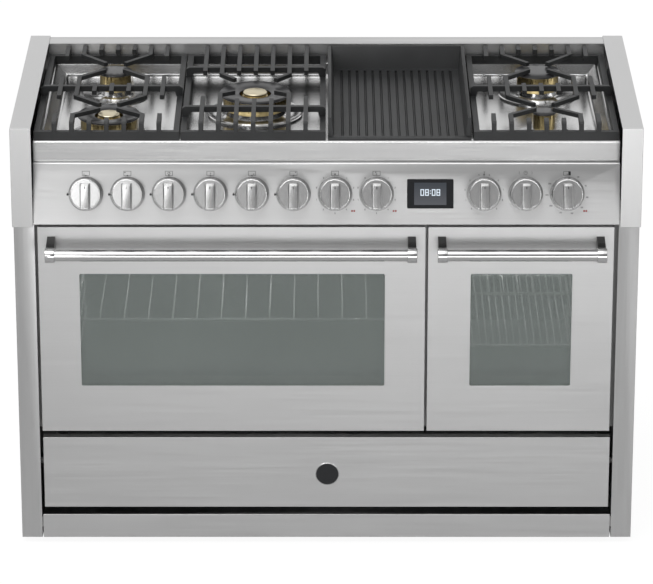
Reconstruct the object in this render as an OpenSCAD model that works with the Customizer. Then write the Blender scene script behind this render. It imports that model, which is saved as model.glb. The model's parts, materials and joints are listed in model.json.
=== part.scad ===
// Free-standing range cooker with two ovens, a gas hob, a griddle and a storage drawer.
// X runs left to right, Y from front to back, Z up. The origin is on the floor, under the
// middle of the model's box. Inside the modules Y counts from the front of the upper cheeks.

/* [Body] */
// Overall width over the side panels
body_w = 1200; // [1160:10:1260]
// Depth of the side panels, from the upper front to the rear
body_d = 600; // [590:5:640]
// Height of the top rim above the floor
rim_h = 872; // [865:1:900]
// Width of each side panel's folded rail, seen from the front and from above
rail_w = 40; // [30:1:50]
// Steel sheet of the body
sheet = 1.5; // [1:0.1:2]
// Height of the cheeks beside the control panel
cheek_h = 198; // [190:1:205]
// How far the lower pillars, doors and plinth stand behind the cheeks
setback = 35; // [30:1:40]
// Depth of the rear rail's flat top
back_rail_d = 45; // [40:1:55]
// How far the rear rail lies under the rim
back_rail_drop = 2; // [1:0.5:4]
// Recess of the back sheet, for the gas and mains connections
back_recess = 38; // [30:1:44]

/* [Feet and plinth] */
// Height of the gap between the floor and the plinth
foot_gap = 12; // [8:1:25]
// Radius of a foot's pad
foot_r = 22; // [16:1:26]
// Radius of a foot's threaded stem
foot_stem_r = 6; // [4:0.5:8]
// Height of the plinth's front
plinth_h = 49; // [40:1:55]
// Depth of the plinth's folded top
plinth_d = 34; // [30:1:40]
// Height of the base pan's floor above the floor
base_z = 34; // [30:1:40]

/* [Hob] */
// How far the front ledge lies under the rim
ledge_drop = 41; // [36:1:44]
// Depth of the pressed basin under the rim
basin_drop = 66; // [60:1:72]
// Width of the ledge round the basin
ledge_w = 15; // [13:1:18]
// Width of the basin's sloping walls
basin_slope = 20; // [12:1:26]
// Apron's distance behind the cheeks
apron_y = 50; // [46:1:56]
// Apron's height
apron_h = 41; // [38:1:44]
// Gap between the hob and the rails beside it
hob_gap = 0.5; // [0.4:0.1:1]

/* [Control panel] */
// How far the panel's top edge stands behind the cheeks
panel_top_y = 40; // [36:1:44]
// How far the panel's bottom edge stands behind the cheeks
panel_bottom_y = 5; // [3:1:12]
// Height of the panel's bottom edge over the bottom of the cheeks
panel_lift = 4; // [2:1:8]
// Width of the display's frame
display_w = 88.6; // [80:0.2:96]
// Height of the display's frame
display_h = 56; // [50:1:60]

/* [Knobs] */
// Distance of the outer knobs' axes from the side panels' rails
knob_margin = 101; // [92:1:110]
// Distance between the two knobs beside the display
display_span = 205.2; // [190:0.2:220]
// Radius of a knob's skirt at the panel
knob_r = 33; // [31:0.5:35]
// Radius of a knob's face
knob_face_r = 29.5; // [28:0.5:31]
// Height of a knob's round body
knob_body_h = 26; // [22:0.5:28]
// Height of a knob's grip over its face
knob_grip_h = 16.5; // [14:0.5:17]
// Width of a knob's grip
knob_grip_w = 16; // [12:0.5:18]
// Radius of the hollow at the foot of a grip's sides
grip_cove = 4; // [3:0.5:5]
// Distance of a grip's upper end from the knob's axis
grip_end = 21; // [18:0.5:24]
// Gap under a knob at rest
knob_gap = 4.5; // [4:0.5:6]
// Travel of a gas knob when it is pushed
push_travel = 3; // [2:0.5:3.5]
// Radius of a spindle
spindle_r = 4; // [3:0.5:5]
// Radial clearance of a spindle in its bore
spindle_clear = 0.05; // [0.02:0.01:0.08]

/* [Doors] */
// Gap between the large door and the side panel's rail
door_left_gap = 5.4; // [4.5:0.1:8]
// Gap between the small door and the side panel's rail
door_right_gap = 7.7; // [5.5:0.1:12]
// Gap between the doors
door_gap = 5; // [3:0.2:8]
// Width of the small door
small_door_w = 357.1; // [340:0.1:380]
// Gap between the bottom of the cheeks and the doors
door_top_gap = 12; // [10:1:15]
// Thickness of the doors
door_t = 48; // [46:1:50]
// Depth of the outer panel's folded edges
door_edge = 22; // [18:1:26]
// Thickness of the door glass
glass_t = 4; // [3:0.5:5]
// Height of the hinge axis over a door's bottom edge
hinge_up = 9; // [9:0.5:12]
// Hinge axis, behind a door's front
hinge_in = 16; // [15:0.5:18]
// Radius of a door's hinge pin
hinge_r = 4; // [3:0.5:5]
// Radial clearance of a hinge pin
hinge_clear = 0.06; // [0.03:0.01:0.09]
// Left margin of the large window
large_win_left = 78.6; // [60:0.2:90]
// Right margin of the large window
large_win_right = 77.8; // [60:0.2:90]
// Left margin of the small window
small_win_left = 82.8; // [60:0.2:90]
// Right margin of the small window
small_win_right = 78.8; // [60:0.2:90]
// Margin over the windows
win_top = 96; // [90:1:110]
// Margin under the windows
win_bottom = 95; // [85:1:110]

/* [Door handles] */
// Radius of a handle's bar
bar_r = 11.5; // [9:0.25:13]
// Radius of the collar at each end of a bar
collar_r = 14.5; // [13.5:0.25:16]
// Width of a collar
collar_w = 19; // [16:1:24]
// Height of the bar's axis under the door's top
bar_down = 39; // [34:1:44]
// Distance from the door's front to the bar's axis
bar_out = 51.5; // [46:0.5:58]
// Distance of the handle's ends from the door's edges
bar_inset = 17; // [12:1:24]
// Width of a handle's post
post_w = 16; // [12:1:18]
// Height of a handle's post
post_h = 24; // [18:1:28]
// How far a post's middle lies above the bar's axis, at the door
post_rise = 8; // [4:1:10]

/* [Drawer] */
// Gap between the doors and the drawer front
drawer_gap = 14; // [12:1:16]
// Gap between the drawer front and the plinth
plinth_gap = 16; // [12:1:20]
// Height of the drawer front
drawer_h = 148; // [140:1:150]
// Gap at each end of the drawer front
drawer_side_gap = 6; // [4:0.5:10]
// Thickness of the folded drawer front
drawer_front_t = 18; // [14:1:22]
// Distance from the drawer box to the back sheet
drawer_rear = 39; // [30:1:60]
// Height of the drawer box
drawer_box_h = 104; // [80:1:110]
// Running clearance of the drawer in its runners
runner_clear = 0.5; // [0.4:0.1:1]

/* [Ovens] */
// Margin between a door's edge and its cavity
cavity_margin = 56; // [52:1:60]
// Height of the cavities' roof over the windows
cavity_over = 48; // [40:1:56]
// Height of the cavities' floor under the windows
cavity_under = 46; // [36:1:50]
// Distance from the cavities to the back sheet
cavity_rear = 48; // [40:1:70]
// Enamelled sheet of the cavities
cavity_t = 2; // [1.5:0.1:3]
// Radius of the cavities' corners
cavity_r = 18; // [10:1:24]
// Levels for the shelves
shelf_levels = 5; // [4:1:6]
// Radius of the shelves' frame wire
shelf_frame_r = 3; // [2.5:0.25:4]
// Radius of the shelves' cross wires
shelf_wire_r = 1.5; // [1:0.25:2]
// Distance between the wires of the large oven's shelf
large_wire_pitch = 47; // [30:1:60]
// Distance between the wires of the small oven's upper shelf
small_wire_pitch = 28; // [20:1:40]
// Distance between the wires of the small oven's lower shelf
fine_wire_pitch = 13.5; // [12:0.5:20]
// Distance of the large fan cover from the cavity's sides
large_fan_margin = 166.4; // [140:0.2:180]
// Distance of the small fan cover from the cavity's sides
small_fan_margin = 27.5; // [20:0.5:35]
// Distance of the fan covers from the cavities' floors
fan_under = 58; // [45:1:65]
// Distance of the fan covers from the cavities' roofs
fan_over = 78; // [65:1:90]

/* [Pan supports] */
// Distance between neighbouring fingers
finger_pitch = 33.3; // [31:0.1:34]
// Width of a finger
finger_w = 8.5; // [7:0.5:10]
// Width of the frame bars
frame_bar_w = 11; // [9:0.5:12.5]
// Height of the frame bars
frame_bar_h = 17; // [14:1:20]
// How far the fingers' tops lie under the rim
support_drop = 4; // [2:1:8]
// Gap between neighbouring supports
support_gap = 3; // [2:0.5:5]

/* [Burners] */
// Radius of the auxiliary burner's cap
aux_r = 23.5; // [20:0.5:26]
// Radius of the semi-rapid burner's cap
semi_r = 34.5; // [30:0.5:38]
// Radius of the rapid burner's cap
rapid_r = 46; // [42:0.5:50]
// Radius of the front wok burner's ring
wok_left_r = 61; // [58:0.5:66]
// Radius of the middle wok burner's ring
wok_mid_r = 69.5; // [64:0.5:72]
// Width of the dished ring round a small burner
dish_w = 32; // [28:1:36]
// Width of the dished ring round the front wok burner
wok_left_dish_w = 15; // [12:1:16]
// Width of the dished ring round the middle wok burner
wok_mid_dish_w = 24; // [14:1:34]
// How far the small burners' caps lie under the rim
cap_drop = 14; // [13.5:0.5:20]
// How far the wok rings lie under the rim
wok_drop = 20; // [18:1:24]
// Distance of the front burners behind the cheeks
burner_front_y = 156; // [150:1:175]
// How far the middle burner stands in front of the hob's middle
burner_mid_fwd = 8.25; // [0:0.25:20]
// Distance of the rear burners from the hob's rear edge
burner_rear_in = 138.5; // [120:0.5:145]

/* [Griddle] */
// Number of ribs
rib_count = 14; // [9:1:15]
// Distance between neighbouring ribs
rib_pitch = 15.65; // [13:0.05:16]
// Height of a rib
rib_h = 5; // [3:0.5:6]
// Width of the grooves between the ribs
groove_w = 5; // [3.5:0.5:7]
// How far the griddle's ribs lie under the rim
griddle_drop = 49; // [42:1:50]
// Thickness of the griddle's floor
griddle_t = 5; // [4:0.5:7]

/* [Hidden] */
$fn = 48;

// Small cut that makes openings run past a face
past = 1;
// Gap between pieces that are set against each other
seat = 0.3;

// Colours
steel_c = [0.80, 0.80, 0.79];
bright_c = [0.90, 0.90, 0.90];
iron_c = [0.16, 0.16, 0.17];
enamel_c = [0.10, 0.10, 0.11];
brass_c = [0.80, 0.66, 0.30];
alu_c = [0.74, 0.74, 0.73];
glass_c = [0.45, 0.50, 0.48, 0.6];
black_c = [0.08, 0.08, 0.09];

// Body
half_w = body_w / 2;
in_x = half_w - rail_w;
cheek_z = rim_h - cheek_h;
back_y = body_d;
back_sheet_y = body_d - back_recess;
rail_y0 = body_d - 4 - back_rail_d;
rear_rail_z = rim_h - back_rail_drop;
handle_front = setback - bar_out - collar_r;
y_mid = (handle_front + back_y) / 2;
shell_in = half_w - sheet;
pan_h = 22;

// Hob
hob_x = in_x - hob_gap;
ledge_z = rim_h - ledge_drop;
basin_z = rim_h - basin_drop;
hob_y0 = apron_y;
hob_y1 = rail_y0 - hob_gap;
basin_x1 = hob_x - ledge_w - basin_slope;
basin_y0 = hob_y0 + ledge_w + basin_slope - 8;
rear_ledge_w = 6;
basin_y1 = hob_y1 - rear_ledge_w - 5;
module_w = 2 * hob_x / 4;
left_cx = -1.5 * module_w;
mid_cx = -0.5 * module_w;
griddle_cx = 0.5 * module_w;
right_cx = 1.5 * module_w;

// Control panel
panel_top_z = ledge_z - apron_h;
panel_bottom_z = cheek_z + panel_lift;
panel_rise = panel_top_z - panel_bottom_z;
panel_run = panel_top_y - panel_bottom_y;
panel_tilt = atan2(panel_run, panel_rise);
panel_cy = (panel_top_y + panel_bottom_y) / 2;
panel_cz = (panel_top_z + panel_bottom_z) / 2;
spindle_hole_r = spindle_r + 2;

// Knobs
knob_end_x = in_x - knob_margin;
knob_pitch = (2 * knob_end_x - display_span) / 9;
knob_xs = concat([for (k = [0:7]) -knob_end_x + k * knob_pitch],
                 [for (k = [2:-1:0]) knob_end_x - k * knob_pitch]);
display_x = (knob_xs[7] + knob_xs[8]) / 2;
knob_top = knob_gap + knob_body_h + knob_grip_h;
shaft_flat = 1;
shaft_top = knob_gap + knob_body_h;
tap_top = -14;
tap_len = 46;
tap_r = 13;
tap_block_w = 32;
tap_block_h = 22;
tap_stub_len = 24;
manifold_over = 30;
switch_w = 36;
switch_h = 30;
shaft_bottom = tap_top - 26;
pipe_r = 9;
pipe_local_z = tap_top - tap_len - pipe_r - seat;
pipe_y = panel_cy - pipe_local_z * cos(panel_tilt);
pipe_z = panel_cz + pipe_local_z * sin(panel_tilt);
inlet_x = -in_x + 46;
inlet_r = 10.5;
inlet_len = 18;
inlet_end = back_y - 6;
gland_x = in_x - 60;
gland_r = 8;
gland_len = 16;

// Doors
drawer_z0 = foot_gap + plinth_h + plinth_gap;
drawer_z1 = drawer_z0 + drawer_h;
door_z1 = cheek_z - door_top_gap;
door_z0 = drawer_z1 + drawer_gap;
large_x0 = -in_x + door_left_gap;
small_x1 = in_x - door_right_gap;
small_x0 = small_x1 - small_door_w;
large_x1 = small_x0 - door_gap;
door_back_y = setback + door_t;
hinge_y = setback + hinge_in;
hinge_z = door_z0 + hinge_up;
surround_y = door_back_y + 4;
surround_t = 2;
win_z1 = door_z1 - win_top;
win_z0 = door_z0 + win_bottom;
win_r = 3;
skin = 1.2;
liner_win = 14;
bracket_in = 12;
bracket_t = 4;
bracket_r = 8;
bracket_free = 1.2;
hinge_plate_t = 8;
hinge_plate_h = 60;

// Drawer
drawer_x = in_x - drawer_side_gap;
box_x = in_x - 30;
front_back_y = setback + drawer_front_t;
box_y0 = setback + skin;
box_y1 = back_sheet_y - drawer_rear;
box_z0 = drawer_z0 + 18;
box_z1 = box_z0 + drawer_box_h;
runner_z = box_z0 + drawer_box_h / 2;
tongue_w = 9;
tongue_h = 12;
runner_t = 3;
box_t = 1.5;

// Ovens
cavity_y0 = surround_y + surround_t;
cavity_y1 = back_sheet_y - cavity_rear;
cavity_z0 = win_z0 - cavity_under;
cavity_z1 = win_z1 + cavity_over;
large_cx0 = large_x0 + cavity_margin;
large_cx1 = large_x1 - cavity_margin;
small_cx0 = small_x0 + cavity_margin;
small_cx1 = small_x1 - cavity_margin;
ladder_r = 2.5;
rung_in = 4;
rung_reach = ladder_r + seat + shelf_frame_r;
level_z0 = cavity_z0 + 45;
level_step = (cavity_z1 - cavity_z0 - 110) / (shelf_levels - 1);
shelf_rise = sqrt(pow(rung_reach, 2) - pow(rung_reach - rung_in, 2));
shelf_inset = 2 * ladder_r + 2 * seat + shelf_frame_r;

// Pan supports
support_z = rim_h - support_drop;
support_y0 = hob_y0 + 3;
support_y1 = hob_y1 - 3;
frame_z0 = ledge_z + seat;
frame_z1 = frame_z0 + frame_bar_h;
cross_h = 11;
arm_h = 8.5;
arm_step = 0.4;

// Burners: place, cap radius, kind (1 is a wok burner), width of the dished ring
burner_mid_y = (hob_y0 + hob_y1) / 2 - burner_mid_fwd;
burner_rear_y = hob_y1 - burner_rear_in;
burners = [[left_cx, burner_rear_y, semi_r, 0, dish_w],
           [left_cx, burner_front_y, wok_left_r, 1, wok_left_dish_w],
           [mid_cx, burner_mid_y, wok_mid_r, 1, wok_mid_dish_w],
           [right_cx, burner_rear_y, rapid_r, 0, dish_w],
           [right_cx, burner_front_y, aux_r, 0, dish_w]];
hob_sheet = 1.5;
cup_h = 14;
cap_t = 6;
plug_body_r = 3.5;
plug_h = 20;
plug_tip_h = 30;

// Griddle
griddle_x0 = griddle_cx - module_w / 2 + support_gap;
griddle_x1 = griddle_cx + module_w / 2 - support_gap;
griddle_z = rim_h - griddle_drop;
groove_x0 = griddle_cx - rib_count * rib_pitch / 2;
griddle_draft = 6;
griddle_lip = 16;
griddle_lip_rise = 4;

// Moves a drawing from the cheeks' front to the model's frame
module from_front() {
  translate([0, -y_mid, 0]) children();
}

// Block between two corners
module block(x0, x1, y0, y1, z0, z1) {
  translate([x0, y0, z0]) cube([x1 - x0, y1 - y0, z1 - z0]);
}

// Outline in Y and Z, drawn out along X
module along_x(x0, x1, outline) {
  translate([x0, 0, 0]) rotate([90, 0, 90]) linear_extrude(x1 - x0) polygon(outline);
}

// Outline in X and Z, drawn out along Y
module along_y(y0, y1, outline) {
  translate([0, y1, 0]) rotate([90, 0, 0]) linear_extrude(y1 - y0) polygon(outline);
}

// Round bars along the three axes
module rod_x(x0, x1, y, z, r) {
  translate([x0, y, z]) rotate([0, 90, 0]) cylinder(h = x1 - x0, r = r);
}

module rod_y(y0, y1, x, z, r) {
  translate([x, y0, z]) rotate([-90, 0, 0]) cylinder(h = y1 - y0, r = r);
}

module rod_z(z0, z1, x, y, r) {
  translate([x, y, z0]) cylinder(h = z1 - z0, r = r);
}

// Flat outline of a rectangle with round corners
module round_rect(x0, x1, y0, y1, r) {
  translate([x0 + r, y0]) square([x1 - x0 - 2 * r, y1 - y0]);
  translate([x0, y0 + r]) square([x1 - x0, y1 - y0 - 2 * r]);
  for (x = [x0 + r, x1 - r]) {
    for (y = [y0 + r, y1 - r]) {
      translate([x, y]) circle(r = r);
    }
  }
}

// Round-cornered block with its outline in X and Z
module round_block(x0, x1, y0, y1, z0, z1, r) {
  translate([0, y1, 0]) rotate([90, 0, 0]) linear_extrude(y1 - y0) round_rect(x0, x1, z0, z1, r);
}

// Frame of the slanted panel: X along it, Y up its face, Z out of it
module on_panel(x, up = 0) {
  translate([x, panel_cy, panel_cz]) rotate([90 - panel_tilt, 0, 0]) translate([0, up, 0]) children();
}

// Side panel: a folded tray, 1 for the right side and -1 for the left
module side_outline(inset) {
  polygon([[inset, rim_h - inset], [back_y - inset, rim_h - inset], [back_y - inset, foot_gap + inset],
           [setback + inset, foot_gap + inset], [setback + inset, cheek_z + inset],
           [inset, cheek_z + inset]]);
}

module side_panel(side) {
  color(steel_c) from_front() scale([side, 1, 1]) difference() {
    translate([in_x, 0, 0]) rotate([90, 0, 90]) linear_extrude(rail_w) side_outline(0);
    translate([in_x - past, 0, 0]) rotate([90, 0, 90]) linear_extrude(rail_w - sheet + past)
      side_outline(sheet);
  }
}

module side_panel_left() {
  side_panel(-1);
}

module side_panel_right() {
  side_panel(1);
}

// Back: rear rail, recessed back sheet, vent slots, the gas inlet's hole and the mains gland
module back_panel() {
  vents = 14;
  vent_pitch = 52;
  color(steel_c) from_front() difference() {
    union() {
      rod_y(back_sheet_y, back_sheet_y + gland_len, gland_x, pipe_z, gland_r + 5);
      along_x(-in_x, in_x, [[rail_y0, rear_rail_z], [back_y - 4, rear_rail_z],
              [back_y - 4, rear_rail_z - 60], [back_y - 4 - sheet, rear_rail_z - 60],
              [back_y - 4 - sheet, rear_rail_z - sheet], [rail_y0 + sheet, rear_rail_z - sheet],
              [rail_y0 + sheet, ledge_z - 12], [rail_y0, ledge_z - 12]]);
      block(-shell_in, shell_in, back_sheet_y, back_sheet_y + sheet, base_z, rear_rail_z - 58);
      block(-in_x, in_x, back_sheet_y, back_y - 4, rear_rail_z - 60, rear_rail_z - 60 + sheet);
    }
    for (row = [0, 1]) {
      for (k = [0:vents - 1]) {
        translate([(k - (vents - 1) / 2) * vent_pitch, 0, 0])
          round_block(-16, 16, back_sheet_y - past, back_sheet_y + sheet + past,
                      panel_bottom_z + 40 * row, panel_bottom_z + 5 + 40 * row, 2.4);
      }
    }
    rod_y(back_sheet_y - past, back_sheet_y + sheet + past, inlet_x, pipe_z, pipe_r + seat);
    rod_y(back_sheet_y - past, back_sheet_y + gland_len + past, gland_x, pipe_z, gland_r);
  }
}

// Base pan: floor sheet with its edges folded up
module base_pan() {
  pan_y0 = setback + sheet + seat;
  color(steel_c) from_front() difference() {
    block(-shell_in, shell_in, pan_y0, back_sheet_y, base_z, base_z + pan_h);
    block(-shell_in + sheet, shell_in - sheet, pan_y0 + sheet, back_sheet_y - sheet,
          base_z + sheet, base_z + pan_h + past);
  }
}

// Plinth: folded strip between the pillars
module plinth() {
  color(steel_c) from_front() along_x(-in_x + 2, in_x - 2,
    [[setback, foot_gap], [setback + sheet, foot_gap], [setback + sheet, foot_gap + plinth_h - sheet],
     [setback + plinth_d, foot_gap + plinth_h - sheet], [setback + plinth_d, foot_gap + plinth_h],
     [setback, foot_gap + plinth_h]]);
}

// Four screw feet under the base pan
module feet() {
  color(black_c) from_front() for (x = [-in_x + 18, in_x - 18]) {
    for (y = [setback + 60, back_sheet_y - 40]) {
      translate([x, y, 0]) rotate_extrude() polygon([[0, 0], [foot_r - 2, 0], [foot_r, 2], [foot_r, 6],
        [foot_r - 6, 9], [foot_stem_r + 3, 9], [foot_stem_r, 12], [foot_stem_r, base_z], [0, base_z]]);
    }
  }
}

// Hob top: apron, ledge and pressed basin in one sheet
module basin_solid(t, top) {
  x0 = basin_x1;
  x1 = hob_x - ledge_w;
  y0 = basin_y0;
  y1 = hob_y0 + ledge_w;
  y2 = basin_y1;
  y3 = hob_y1 - rear_ledge_w;
  intersection() {
    along_y(y1 - t, y3 + t, [[-x1 - t, ledge_z + top], [-x1 - t, ledge_z - hob_sheet], [-x0 - t, basin_z - t],
            [x0 + t, basin_z - t], [x1 + t, ledge_z - hob_sheet], [x1 + t, ledge_z + top]]);
    along_x(-x1 - t, x1 + t, [[y1 - t, ledge_z + top], [y1 - t, ledge_z - hob_sheet], [y0 - t, basin_z - t],
            [y2 + t, basin_z - t], [y3 + t, ledge_z - hob_sheet], [y3 + t, ledge_z + top]]);
  }
}

module hob_top() {
  color(bright_c) from_front() difference() {
    union() {
      along_x(-hob_x, hob_x, [[hob_y0, ledge_z], [hob_y1, ledge_z], [hob_y1, ledge_z - hob_sheet],
              [hob_y0 + hob_sheet, ledge_z - hob_sheet], [hob_y0 + hob_sheet, panel_top_z + seat],
              [hob_y0, panel_top_z + seat]]);
      basin_solid(hob_sheet, -hob_sheet / 2);
    }
    basin_solid(0, past);
    for (b = burners) {
      rod_z(basin_z - 5, basin_z + 5, b[0], b[1], b[2] * 0.45);
    }
  }
}

// Slanted control panel with its folded edges, spindle holes and display cut-out
module control_panel() {
  roll = 4;
  flange_y = panel_top_y + 26;
  roll_y = panel_top_y + roll / tan((90 + panel_tilt) / 2);
  roll_z = panel_top_z - roll;
  inner_y = panel_bottom_y + sheet * (tan(panel_tilt) + 1 / cos(panel_tilt));
  color(steel_c) from_front() difference() {
    along_x(-hob_x, hob_x, concat(
      [[flange_y, panel_top_z]],
      [for (a = [90:(90 - panel_tilt) / 6:180.01 - panel_tilt])
        [roll_y + roll * cos(a), roll_z + roll * sin(a)]],
      [[panel_bottom_y, panel_bottom_z], [setback, panel_bottom_z], [setback, panel_bottom_z + sheet]],
      [[inner_y, panel_bottom_z + sheet]],
      [for (a = [180 - panel_tilt:(panel_tilt - 90) / 6:89.99])
        [roll_y + (roll - sheet) * cos(a), roll_z + (roll - sheet) * sin(a)]],
      [[flange_y, panel_top_z - sheet]]));
    for (x = knob_xs) {
      on_panel(x) translate([0, 0, -10]) cylinder(h = 20, r = spindle_hole_r);
    }
    on_panel(display_x) translate([0, 0, -5]) linear_extrude(10)
      square([display_w - 8, display_h - 8], center = true);
  }
}

// Oven surround: front plate with both oven openings and the doors' hinge pins
module cavity_outline(x0, x1, grow = 0) {
  round_rect(x0 - grow, x1 + grow, cavity_z0 - grow, cavity_z1 + grow, cavity_r + grow);
}

module cavity_prism(x0, x1, y0, y1, grow = 0) {
  translate([0, y1, 0]) rotate([90, 0, 0]) linear_extrude(y1 - y0) cavity_outline(x0, x1, grow);
}

module hinge_bracket(x, side) {
  // x is the door's edge, and side is 1 where the door lies to the right of it
  near = x + side * bracket_in;
  far = near + side * bracket_t;
  tip = x + side * (skin + 0.5);
  block(min(near, far), max(near, far), hinge_y, surround_y + seat, hinge_z - bracket_r, hinge_z + bracket_r);
  rod_x(min(near, far), max(near, far), hinge_y, hinge_z, bracket_r);
  rod_x(min(tip, far), max(tip, far), hinge_y, hinge_z, hinge_r);
}

module oven_surround() {
  color(steel_c) from_front() {
    difference() {
      block(-shell_in, shell_in, surround_y, surround_y + surround_t, drawer_z1 + 2, cheek_z + 26);
      for (span = [[large_cx0, large_cx1], [small_cx0, small_cx1]]) {
        cavity_prism(span[0], span[1], surround_y - past, surround_y + surround_t + past);
      }
    }
    for (door = [[large_x0, large_x1], [small_x0, small_x1]]) {
      hinge_bracket(door[0], 1);
      hinge_bracket(door[1], -1);
    }
  }
}

// Oven cavities: enamelled boxes behind the surround
module cavity(x0, x1) {
  color(enamel_c) from_front() difference() {
    union() {
      cavity_prism(x0, x1, cavity_y0, cavity_y1, cavity_t);
      cavity_prism(x0, x1, cavity_y0, cavity_y0 + cavity_t, 14);
    }
    cavity_prism(x0, x1, cavity_y0 - past, cavity_y1 - cavity_t);
  }
}

module large_oven_cavity() {
  cavity(large_cx0, large_cx1);
}

module small_oven_cavity() {
  cavity(small_cx0, small_cx1);
}

// Wire ladders that carry the shelves, one at each side of a cavity
module ladder(wall, side) {
  // side is 1 where the cavity lies to the right of the wall
  x = wall + side * (ladder_r + seat);
  y0 = cavity_y0 + 35;
  y1 = cavity_y1 - 45;
  for (y = [y0, y1]) {
    rod_z(level_z0 - 18, level_z0 + (shelf_levels - 1) * level_step + 18, x, y, ladder_r);
  }
  for (k = [0:shelf_levels - 1]) {
    rod_y(y0 - ladder_r, y1 + ladder_r, x + side * rung_in, level_z0 + k * level_step, ladder_r);
  }
}

module shelf_ladders() {
  color(bright_c) from_front() {
    ladder(large_cx0, 1);
    ladder(large_cx1, -1);
    ladder(small_cx0, 1);
    ladder(small_cx1, -1);
  }
}

// Wire shelves, resting on the ladders' rungs
module wire_shelf(cavity_x0, cavity_x1, level, wire_pitch) {
  x0 = cavity_x0 + shelf_inset;
  x1 = cavity_x1 - shelf_inset;
  y0 = cavity_y0 + 12;
  y1 = cavity_y1 - 22;
  z = level_z0 + level * level_step + shelf_rise;
  wires = round((x1 - x0) / wire_pitch);
  for (y = [y0, y1]) {
    rod_x(x0 - shelf_frame_r, x1 + shelf_frame_r, y, z, shelf_frame_r);
  }
  for (x = [x0, x1]) {
    rod_y(y0, y1, x, z, shelf_frame_r);
  }
  for (k = [1:wires - 1]) {
    rod_y(y0, y1, x0 + (x1 - x0) * k / wires, z, shelf_wire_r);
  }
}

module oven_shelves() {
  color(bright_c) from_front() {
    wire_shelf(large_cx0, large_cx1, 2, large_wire_pitch);
    wire_shelf(small_cx0, small_cx1, 3, small_wire_pitch);
    wire_shelf(small_cx0, small_cx1, 1, fine_wire_pitch);
  }
}

// Heating elements: a row of tubes under each roof, and one under the griddle
module tube_element(x0, x1, y0, y1, z, r, legs) {
  pitch = (x1 - x0) / (legs - 1);
  for (k = [0:legs - 1]) {
    rod_y(y0, y1, x0 + k * pitch, z, r);
  }
  for (y = [y0 + 3, y1 - 30]) {
    block(x0 - r - 2, x1 + r + 2, y, y + 5, z - r / 2, z + r / 2);
  }
}

module heating_elements() {
  margin = 45;
  element_r = 2.8;
  y1 = cavity_y1 - cavity_t - seat;
  color(black_c) from_front() {
    tube_element(large_cx0 + margin, large_cx1 - margin, cavity_y0 + 60, y1, cavity_z1 - 22, 3.5, 8);
    tube_element(small_cx0 + margin, small_cx1 - margin, cavity_y0 + 60, y1, cavity_z1 - 22, 3.5, 4);
    tube_element(griddle_x0 + 50, griddle_x1 - 50, basin_y0 + 40, basin_y1 - 60,
                 basin_z + element_r + seat, element_r, 6);
  }
}

// Slotted covers over the ovens' fans
module fan_cover(x0, x1) {
  y1 = cavity_y1 - cavity_t - seat;
  y0 = y1 - 14;
  z0 = cavity_z0 + fan_under;
  z1 = cavity_z1 - fan_over;
  half_h = (z1 - z0) / 2;
  slots = 16;
  slot_r = half_h * 0.36;
  difference() {
    round_block(x0, x1, y0, y1, z0, z1, 20);
    round_block(x0 + sheet, x1 - sheet, y0 + sheet, y1 + past, z0 + sheet, z1 - sheet, 20 - sheet);
    for (k = [0:slots - 1]) {
      translate([(x0 + x1) / 2, y0 - past, z0 + half_h]) rotate([0, k * 360 / slots, 0])
        translate([-half_h * 0.03, 0, slot_r]) cube([half_h * 0.06, 4, slot_r]);
    }
    rod_y(y0 - past, y0 + 3, (x0 + x1) / 2, z0 + half_h, half_h * 0.17);
  }
}

module fan_covers() {
  color(enamel_c) from_front() {
    fan_cover(large_cx0 + large_fan_margin, large_cx1 - large_fan_margin);
    fan_cover(small_cx0 + small_fan_margin, small_cx1 - small_fan_margin);
  }
}

// Seals round both oven openings
module door_seals() {
  seal_t = 3;
  color(black_c) from_front() for (span = [[large_cx0, large_cx1], [small_cx0, small_cx1]]) {
    difference() {
      cavity_prism(span[0], span[1], surround_y - seal_t, surround_y, 12);
      cavity_prism(span[0], span[1], surround_y - seal_t - past, surround_y + past, 4);
    }
  }
}

// Burners: aluminium cups with their dished rings, on the basin floor
function dish_r(b) = b[2] + b[4];
function plug_r(b) = b[2] + 6;
plug_angle = 38;

module burner_cup(b) {
  r = b[2];
  difference() {
    rotate_extrude() polygon([[r * 0.4, 0], [dish_r(b), 0], [dish_r(b), 3.5], [dish_r(b) - 2, 4.5],
      [dish_r(b) - 5, 3], [r + 1, 1.6], [r * 0.86, 4], [r * 0.8, cup_h], [r * 0.4, cup_h]]);
    rotate([0, 0, plug_angle]) translate([plug_r(b), 0, -past]) cylinder(h = cup_h, r = 3.8);
  }
}

module burner_cups() {
  color(alu_c) from_front() for (b = burners) {
    translate([b[0], b[1], basin_z]) burner_cup(b);
  }
}

// Brass flame rings with their ports
function cap_top_z(b) = rim_h - (b[3] == 1 ? wok_drop : cap_drop);
function crown_z1(b) = cap_top_z(b) - cap_t;

module ported_ring(r0, r1, z0, z1) {
  ports = round(r1 * 0.75);
  slot_h = min(7, (z1 - z0) / 2);
  difference() {
    rotate_extrude() polygon([[r0, z0], [r1 - 1.5, z0], [r1, z0 + 3], [r1, z1], [r0, z1]]);
    for (k = [0:ports - 1]) {
      rotate([0, 0, (k + 0.5) * 360 / ports]) translate([r1 - 4, -0.9, z1 - slot_h])
        cube([8, 1.8, slot_h + past]);
    }
  }
}

module burner_crowns() {
  color(brass_c) from_front() for (b = burners) {
    translate([b[0], b[1], 0]) {
      ported_ring(b[2] * (b[3] == 1 ? 0.62 : 0.4), b[2] * 0.9, basin_z + cup_h, crown_z1(b));
      if (b[3] == 1) {
        ported_ring(b[2] * 0.2, b[2] * 0.36, basin_z + cup_h, crown_z1(b) - 2);
        rotate([0, 0, 45]) difference() {
          translate([-b[2] * 0.7, -4, basin_z + cup_h]) cube([b[2] * 1.4, 8, 5]);
          cylinder(h = rim_h, r = b[2] * 0.3);
        }
      }
    }
  }
}

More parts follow.
